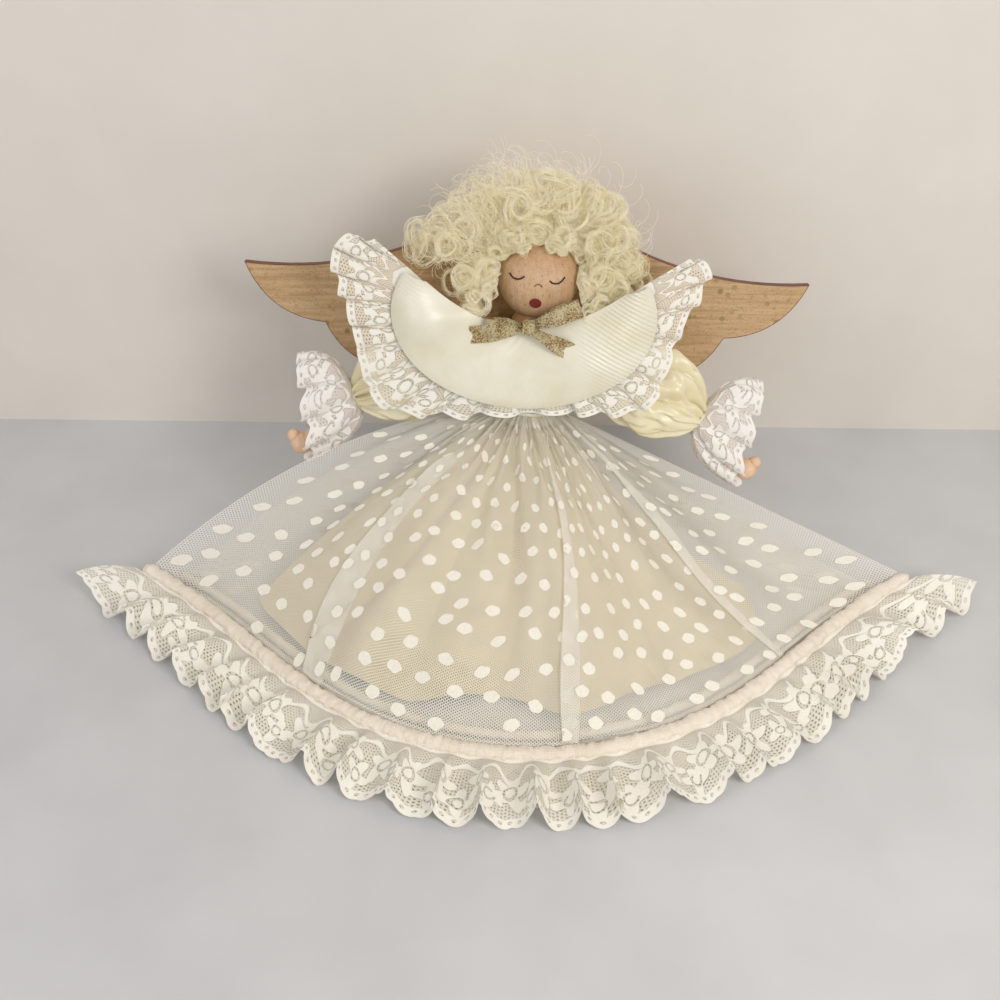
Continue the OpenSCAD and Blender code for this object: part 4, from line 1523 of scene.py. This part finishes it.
@dataclass
class Collars:
    """A ribbed satin bib over a wider ruffled lace collar.

    The lace's edge lists points across and up, from the left horn to the right one.
    """

    finishes: Finishes
    horn: float = 115.0
    centre: float = 83.0
    satin_w: float = 40.5
    satin_drop: float = 29.0
    satin_y: float = -15.0
    shift: float = -4.0
    lace_edge: tuple = (
        (-50, 104.5), (-60, 103), (-62.5, 96), (-60, 88), (-57, 79.7), (-55, 71), (-52, 59), (-45, 51),
        (-31.5, 49.5), (-15.7, 50.5), (0, 52), (14.2, 53), (25, 53.5), (37, 56), (41, 68), (44, 81), (48, 91.6),
        (50, 101), (44, 104.5),
    )
    lace_y: float = -12.8
    neck_y: float = -9.0
    neck_rise: float = 13.0
    satin_neck: tuple[float, float] = (30.0, 79.5)
    lace_neck: tuple[float, float] = (26.0, 75.0)
    rib: float = 1.25
    rib_h: float = 0.21
    lace_l: float = 20.0
    scallops: int = 26
    flutes: int = 19

    def neck(self, q: float, size: tuple[float, float], y: float) -> Vector:
        """A point of a collar's neck edge.

        Args:
            q: the place along it, from -1 to 1.
            size: its half width and its height at the middle.
            y: its depth at the ends.

        Returns:
            The point on the upright doll, in millimetres.
        """
        width, height = size
        return Vector((width * q, lerp(self.neck_y, y, (q * q + 0.02) ** 0.3), height + self.neck_rise * q * q))

    def satin(self, u: float, v: float) -> Vector:
        """The satin collar from neck to edge, finely ribbed.

        Args:
            u: share of the way round it, from the left.
            v: share of the way from neck to edge.

        Returns:
            The point in millimetres.
        """
        q = 2 * u - 1
        a = math.radians(self.horn * q)
        edge = Vector((self.satin_w * math.sin(a), self.satin_y, self.centre - self.satin_drop * math.cos(a)))
        point = lerp(self.neck(q, self.satin_neck, self.satin_y), edge, v)
        swell = 2.4 + 2.1 * bump(q, -0.66, 0.14) - 1.7 * bump(q, -0.4, 0.13) + 0.9 * bump(q, 0.25, 0.3)
        swell = swell * math.sin(math.pi * v) + 0.6 * wobble(5 * q, 1.5 * v, 5) * v
        line = (0.42 * point.x + 0.9 * point.z + 1.2 * wobble(0.05 * point.x, 0.05 * point.z, 8)) / self.rib
        strength = 0.1 + 0.9 * smooth_step(-0.3, 0.6, q)
        rib = self.rib_h * math.cos(2 * math.pi * line) * strength * smooth_step(0.0, 0.15, v)
        edge_roll = 0.5 * smooth_step(0.93, 1.0, v)
        return SIT @ (point - Vector((-self.shift, swell + rib - edge_roll + 0.3, 0)))

    def lace(self, u: float, v: float) -> Vector:
        """The lace collar from neck to edge, fluted and scalloped.

        Args:
            u: share of the way round it, from the left.
            v: share of the way from neck to edge.

        Returns:
            The point in millimetres.
        """
        q = 2 * u - 1
        last = len(self.lace_edge) - 1
        knots = tuple((i / last, Vector((x, self.lace_y, z))) for i, (x, z) in enumerate(self.lace_edge))
        neck = self.neck(q, self.lace_neck, self.lace_y) + Vector((self.shift, 0, 0))
        way = through(knots, u) - neck
        out = 1 + (0.8 * abs(math.sin(math.pi * self.scallops * u)) - 0.4) / way.length
        beat = 2 * math.pi * (self.flutes * u + 0.3 * wobble(11 * u, 0, 2))
        flute = (1.6 + 0.7 * wobble(8 * u, 0, 5)) * math.cos(beat) * smooth_step(0.45, 1.0, v)
        flute += 0.5 * wobble(14 * u, 4 * v, 6) * v
        sway = (1.5 * math.sin(beat) + 0.5 * math.sin(2 * beat)) * smooth_step(0.5, 1.0, v)
        tangent = Vector((way.z, 0, -way.x)).normalized()
        return SIT @ (neck + way * (v * out) - tangent * sway - Vector((0, 0.9 + flute, 0)))

    def build(self) -> None:
        f = self.finishes
        cut = Cut(150.0, 32.0, ("collar_lace", "neck_band"), 0.6)
        cloth_piece("collar_satin", "satin_collar", "satin", self.satin, (900, 26), cut, f.satin)
        cut = Cut(300.0, 38.0, ("neck_band",), 0.5)
        inset = cut.length - self.lace_l
        cloth_piece("collar_lace", "lace_collar", "lace", self.lace, (760, 30), cut, f.collar_lace, inset=inset)


@dataclass
class Bow:
    """A gold ribbon round the neck, tied in a bow under the chin.

    Each side has the turns of its loop and its tail in degrees, and the loop's length.
    """

    finishes: Finishes
    width: float = 5.4
    knot: Triple = (-2.6, -16.2, 80.6)
    turns: tuple = ((Side.LEFT, 4.0, 13.0, 11.0), (Side.RIGHT, -24.0, 27.0, 15.0))
    knot_r: float = 2.8
    loop_d: float = 3.4
    slope: float = 4.0
    root: float = 1.96
    tail_l: float = 26.0
    band_r: float = 8.2
    band_h: tuple[float, float] = (74.0, 79.0)

    def lie(self, side: Side, turn: float, out: float) -> Matrix:
        """The way to one side of the bow: +X runs out from the knot.

        Args:
            side: which side.
            turn: how far the ribbon turns down, in degrees.
            out: how far it lies in front of the knot.

        Returns:
            The ribbon's frame on the doll as it sits.
        """
        x, y, z = self.knot
        place = Matrix.Translation((x, y - out, z)) @ Matrix.Diagonal((side.value, 1, 1, 1))
        turned = Matrix.Rotation(math.radians(turn), 4, "Y") @ Matrix.Rotation(math.radians(self.slope), 4, "Z")
        return SIT @ place @ turned

    def loop(self, side: Side, turn: float, length: float) -> Surface:
        """One loop of ribbon: u goes round it and v across it.

        Args:
            side: which side.
            turn: its turn in degrees.
            length: from the knot to its end.

        Returns:
            The loop as a surface.
        """
        place = self.lie(side, turn, 0.0)

        def ribbon(u: float, v: float) -> Vector:
            """A point of the loop.

            Args:
                u: share of the way round it.
                v: share of the way across it.

            Returns:
                The point in millimetres.
            """
            a = 2 * math.pi * u
            pinch = lerp(0.55, 1.0, smooth_step(0.0, 0.5, (1 - math.cos(a)) / 2))
            x = length * (1 - math.cos(a)) / 2 + self.root
            y = self.loop_d * math.sin(a) * math.sin(a / 2) / 2 + 0.35 * wobble(4 * u, 2 * v, side.value)
            return place @ Vector((x, y, self.width * pinch * (v - 0.5)))

        return ribbon

    def tail(self, side: Side, turn: float) -> Surface:
        """One tail of ribbon with a slanted end: u goes along it and v across it.

        Args:
            side: which side.
            turn: its turn in degrees.

        Returns:
            The tail as a surface.
        """
        place = self.lie(side, turn, 0.45 * side.value)

        def ribbon(u: float, v: float) -> Vector:
            """A point of the tail.

            Args:
                u: share of the way along it.
                v: share of the way across it.

            Returns:
                The point in millimetres.
            """
            x = self.root + u * (self.tail_l + 1.4 - 4.5 * v)
            pinch = lerp(0.5, 1.0, smooth_step(0.0, 0.4, u))
            y = -0.3 - 0.9 * math.sin(2 * math.pi * u) + 0.4 * wobble(3 * u, 2 * v, 9)
            y -= 0.7 * math.cos(2 * math.pi * v) * (1 - u)
            return place @ Vector((x, y, self.width * pinch * (v - 0.5)))

        return ribbon

    def band(self, u: float, v: float) -> Vector:
        """The ribbon round the neck."""
        return around(2 * math.pi * u, self.band_r, lerp(*self.band_h, v))

    def wrap(self, u: float, v: float) -> Vector:
        """The knot: ribbon wound round the bow's middle, creased across.

        Args:
            u: share of the way round it.
            v: share of the way across it.

        Returns:
            The point in millimetres.
        """
        a, across = 2 * math.pi * u, 2 * v - 1
        r = self.knot_r * (1 - across**6) ** 0.5 * (1 + 0.07 * math.cos(9 * across + 1.5 * math.sin(a)))
        x, y, z = self.knot
        return SIT @ Vector((x + 0.75 * self.knot_r * across, y - 0.5 * r * math.cos(a), z + 0.85 * r * math.sin(a)))

    def build(self) -> None:
        """Make the band, the loops, the tails and the knot."""
        slot, gold = "gold_ribbon", self.finishes.lame
        cloth_piece("neck_band", "neck_ribbon", slot, self.band, (64, 6), Cut(52.0, 6.0), gold, closed=True)
        for side, loop_turn, tail_turn, length in self.turns:
            node, surface = f"bow_loop_{side.word}", self.loop(side, loop_turn, length)
            cloth_piece(f"{node}_ribbon", node, slot, surface, (72, 10), Cut(32.0, 6.0), gold, closed=True)
            node, surface = f"bow_tail_{side.word}", self.tail(side, tail_turn)
            cloth_piece(f"{node}_ribbon", node, slot, surface, (44, 10), Cut(21.0, 6.0), gold)
        cloth_piece("bow_knot_ribbon", "bow_knot", slot, self.wrap, (40, 20), Cut(15.0, 5.0), gold, closed=True)


@dataclass
class Arm:
    """One arm: a wire in a puffed satin sleeve, a lace cuff and a mitten hand."""

    finishes: Finishes
    side: Side
    shoulder: Triple = (9.1, -1.2, 72.0)
    drop: float = 25.0
    length: float = 54.0
    sleeve_r: float = 15.5
    sleeve_depth: float = 10.4
    sleeve_ends: tuple[float, float] = (3.0, 53.0)
    armhole_r: float = 5.5
    wrist_r: float = 3.4
    cuff_x: float = 51.8
    cuff_r: float = 16.0
    cuff_depth: float = 8.2
    cuff_l: float = 15.0
    wrist_bend: float = 21.0
    hand_reach: float = 23.5
    hand_r: float = 3.6

    @property
    def body(self) -> str:
        """The CAD body that the arm moves with."""
        return f"{self.side.word}_arm"

    @property
    def place(self) -> Matrix:
        """The arm's frame: +X down the arm and +Z on its upper side."""
        turn = Matrix.Rotation(math.radians(self.drop), 4, "Y")
        return SIT @ Matrix.Diagonal((self.side.value, 1, 1, 1)) @ Matrix.Translation(self.shoulder) @ turn

    def sleeve(self, u: float, v: float) -> Vector:
        """The sleeve, puffed and tucked from the armhole to the wrist.

        Args:
            u: share of the way round it.
            v: share of the way down it.

        Returns:
            The point in millimetres.
        """
        a = 2 * math.pi * u
        seed = 3.0 + self.side.value
        warp = 1.6 * wobble(1.6 * math.cos(a) + 2 * v, 1.6 * math.sin(a), seed)
        fold = abs(math.sin(3.5 * a + 2.6 * v + 1.5 * warp))
        tuck = abs(math.sin(9 * a + 2 * warp + seed))
        crease = 1 - 0.42 * (1 - fold) ** 1.6 * smooth_step(0.1, 0.65, v)
        crease -= (1 - tuck) * (0.3 * smooth_step(0.55, 1.0, v) + 0.14 * smooth_step(0.35, 0.0, v))
        crease += 0.17 * wobble(3 * math.cos(a), 3 * math.sin(a) + 6 * v, seed + 4) * smooth_step(0.0, 0.3, v)
        crumple = 1 - min(1.0, 3.2 * abs(wobble(2.2 * math.cos(a) + 4 * v, 2.2 * math.sin(a) - 2 * v, seed + 9)))
        crease -= 0.13 * crumple**2 * math.sin(math.pi * v)
        base = lerp(self.armhole_r, self.wrist_r, v)
        swell = math.sin(math.pi * v**1.6) ** 0.8 if 0 < v < 1 else 0.0
        deep = crease * (base + (self.sleeve_depth - base) * swell)
        high = crease * (base + (self.sleeve_r - base) * swell)
        return self.place @ Vector((lerp(*self.sleeve_ends, v), deep * math.cos(a), high * math.sin(a)))

    def cuff(self, u: float, v: float) -> Vector:
        """The cuff, ruffled from the wrist out to its scalloped edge.

        Args:
            u: share of the way round it.
            v: share of the way out.

        Returns:
            The point in millimetres.
        """
        a = 2 * math.pi * u
        beat = 9 * a + 0.5 * wobble(2 * math.cos(a), 2 * math.sin(a), 4)
        flare = 1 - (1 - v) ** 2.4
        ruffle = (2.1 + 0.7 * wobble(3 * math.cos(a), 3 * math.sin(a), 2)) * v * math.cos(beat)
        high = lerp(self.wrist_r, self.cuff_r + 2 * math.sin(a), flare) + ruffle
        deep = lerp(self.wrist_r, self.cuff_depth, flare) + ruffle * 0.9
        scallop = 0.5 * v * math.cos(27 * a)
        turn = a + 0.1 * v * math.sin(beat)
        x = self.cuff_x + v**1.5 * (self.cuff_l + 2.5 - 6 * math.sin(a)) + scallop + 1.9 * v * math.sin(beat)
        return self.place @ Vector((x, deep * math.cos(turn), high * math.sin(turn)))

    def build(self) -> None:
        """Make the arm's soft pieces and hand, and finish its wire."""
        f, word = self.finishes, self.side.word
        wire = f"arm_wire_{word}"
        for node, finish, slot, surface, grid, length in (
            ("sleeve", "satin", "sleeve_satin", self.sleeve, (220, 60), 54.0),
            ("cuff", "lace", "lace", self.cuff, (360, 14), 16.0),
        ):
            material = f.sleeve if finish == "satin" else f.cuff_lace
            cut = Cut(80.0, length, (wire,))
            name = f"{node}_{word}"
            cloth_piece(f"{name}_{finish}", name, slot, surface, grid, cut, material, self.body, closed=True)
        self.hand()
        refinish(wire, f.wire, "wire")

    def hand(self) -> None:
        """A mitten with its thumb up, on a thin wrist."""
        bend = Matrix.Rotation(math.radians(self.wrist_bend), 4, "Y")
        wrist = self.place @ Matrix.Translation((self.length, 0, 0)) @ bend
        r, reach = self.hand_r, self.hand_reach
        bm = bmesh.new()
        add_ball(bm, wrist @ Matrix.Translation((reach, 0, 0)), (r * 1.02, r * 0.95, r), 32)
        add_ball(bm, wrist @ Matrix.Translation((reach, 0, r)), (0.6 * r, 0.6 * r, 0.62 * r), 24)
        stem = bmesh.ops.create_cone(bm, cap_ends=True, segments=16, radius1=1.3, radius2=2.0, depth=reach)["verts"]
        lay = Matrix.Translation((reach / 2, 0, 0)) @ Matrix.Rotation(math.radians(90), 4, "Y")
        bmesh.ops.transform(bm, matrix=wrist @ lay, verts=stem)
        bmesh.ops.recalc_face_normals(bm, faces=bm.faces)
        made = object_of(bm, f"hand_{self.side.word}_mitten", self.finishes.hand, self.body)
        stands_for(made, "hand", f"hand_{self.side.word}")


@dataclass
class Shaft:
    """The clothespin under the clothes, its bodice and the thread round the waist."""

    finishes: Finishes
    low: float = 43.0
    full: float = 57.0
    top: float = 66.0
    full_r: float = 9.05
    top_r: float = 8.15
    tie_r: float = 9.35
    thread_r: float = 0.7

    def bodice(self, u: float, v: float) -> Vector:
        """The bodice tube with faint pulls.

        Args:
            u: share of the way round it.
            v: share of the way up.

        Returns:
            The point in millimetres.
        """
        a = 2 * math.pi * u
        z = lerp(self.low, self.top, v)
        r = lerp(self.full_r, self.top_r, smooth_step(self.full, self.top, z)) + 0.12 * math.cos(17 * a)
        return around(a, r, z)

    def tie(self, u: float, v: float) -> Vector:
        """A twisted thread round the waist.

        Args:
            u: share of the way round the waist.
            v: share of the way round the thread.

        Returns:
            The point in millimetres.
        """
        a, b = 2 * math.pi * u, 2 * math.pi * v
        r = self.thread_r * (1 + 0.16 * math.cos(2 * b + 60 * a))
        ring = self.tie_r + self.thread_r + r * math.cos(b)
        z = STANCE.waist_h + self.thread_r + 0.6 + r * math.sin(b)
        return around(a, ring, z)

    def build(self) -> None:
        """Finish the clothespin, and make the bodice and the tie."""
        f = self.finishes
        refinish("peg_body", f.beech, "beech")
        cut = Cut(57.0, 24.0, ("peg_body",), held="stretched")
        cloth_piece("bodice_tube", "bodice", "satin", self.bodice, (136, 20), cut, f.bodice, closed=True)
        cloth_piece("waist_thread", "waist_tie", "net", self.tie, (300, 12), Cut(62.0, 4.0), f.bodice, closed=True)


@dataclass
class Studio:
    """Camera at the photograph's place, pale table and wall, and soft light."""

    lens_px: float = 1085.0
    pitch: float = 40.0
    roll: float = 0.63
    photo_px: float = 1000.0
    sensor: float = 36.0
    eye: Triple = (-6.4, -280.6, 257.06)
    wall_y: float = 73.0
    stage_half: float = 3000.0
    aim: Triple = (0.0, 0.0, 40.0)
    lamps: tuple = (
        ("key", (215, -320, 300), 170, 0.82, (1.0, 0.97, 0.93)),
        ("fill", (-330, -330, 300), 320, 0.5, (0.95, 0.97, 1.0)),
    )
    sky: Colour = (0.93, 0.93, 0.94)
    sky_strength: float = 0.62
    table_finish: PlainFinish = PlainFinish("table_top", (0.83, 0.83, 0.83), (0.80, 0.80, 0.80), 0.5, 0.02)
    wall_finish: PlainFinish = PlainFinish("wall_paint", (0.92, 0.89, 0.85), (0.90, 0.87, 0.83), 0.8, 0.02)

    def build(self) -> None:
        """Make the stage, the lights and the camera."""
        self._camera()
        self._stage()
        for lamp in self.lamps:
            self._light(*lamp)
        world = bpy.data.worlds.new("studio")
        bpy.context.scene.world = world
        world.use_nodes = True
        back = world.node_tree.nodes["Background"]
        back.inputs["Color"].default_value = linear(self.sky)
        back.inputs["Strength"].default_value = self.sky_strength
        bpy.context.scene.view_settings.view_transform = "Standard"

    def _camera(self) -> None:
        """Set the camera in the photograph's place."""
        data = bpy.data.cameras.new("photo_view")
        data.sensor_width = self.sensor
        data.lens = self.sensor * self.lens_px / self.photo_px
        data.clip_start = 0.01
        made = linked("photo_view", data)
        pitch = Matrix.Rotation(math.radians(90 - self.pitch), 4, "X")
        roll = Matrix.Rotation(math.radians(self.roll), 4, "Z")
        made.matrix_world = Matrix.Translation(Vector(self.eye) * MM) @ pitch @ roll
        bpy.context.scene.camera = made

    def _stage(self) -> None:
        """Lay the table and stand the wall behind it, clear when it is seen from its back."""
        table = self._plane("table", Matrix.Identity(4), self.table_finish)
        wall_turn = Matrix.Translation((0, self.wall_y * MM, 0)) @ Matrix.Rotation(math.radians(90), 4, "X")
        wall = self._plane("wall", wall_turn, self.wall_finish)
        tree = wall.data.materials[0].node_tree
        out = tree.nodes["Material Output"]
        mix = tree.nodes.new("ShaderNodeMixShader")
        clear = tree.nodes.new("ShaderNodeBsdfTransparent")
        facing = tree.nodes.new("ShaderNodeNewGeometry")
        tree.links.new(facing.outputs["Backfacing"], mix.inputs[0])
        tree.links.new(tree.nodes["Principled BSDF"].outputs[0], mix.inputs[1])
        tree.links.new(clear.outputs[0], mix.inputs[2])
        tree.links.new(mix.outputs[0], out.inputs[0])

    def _plane(self, name: str, place: Matrix, finish: PlainFinish) -> bpy.types.Object:
        """Make one large flat plane of the stage.

        Args:
            name: the plane's name.
            place: where it lies, in metres.
            finish: its finish.

        Returns:
            The new object.
        """
        bm = bmesh.new()
        bmesh.ops.create_grid(bm, x_segments=1, y_segments=1, size=self.stage_half * MM)
        bmesh.ops.transform(bm, matrix=place, verts=bm.verts)
        mesh = bpy.data.meshes.new(name)
        bm.to_mesh(mesh)
        bm.free()
        mesh.materials.append(finish.make())
        return linked(name, mesh)

    def _light(self, name: str, place: Triple, size: float, watts: float, colour: Colour) -> None:
        """Hang one soft square lamp that looks at the doll.

        Args:
            name: the lamp's name.
            place: where it hangs.
            size: its width.
            watts: its power.
            colour: its light.
        """
        data = bpy.data.lights.new(name, "AREA")
        data.size = size * MM
        data.energy = watts
        data.color = colour
        made = linked(name, data)
        at = Vector(place) * MM
        turn = (at - Vector(self.aim) * MM).to_track_quat("Z", "Y").to_matrix().to_4x4()
        made.matrix_world = Matrix.Translation(at) @ turn


def main() -> None:
    """Build the doll's sub-assemblies in order, then the studio."""
    logging.basicConfig(level=logging.INFO)
    finishes = Finishes()
    Shaft(finishes).build()
    Head(finishes).build()
    Hair(finishes).build()
    Wings(finishes).build()
    Bow(finishes).build()
    Collars(finishes).build()
    for side in Side:
        Arm(finishes, side).build()
    Skirt(finishes).build()
    Studio().build()


if __name__ == "__main__":
    main()
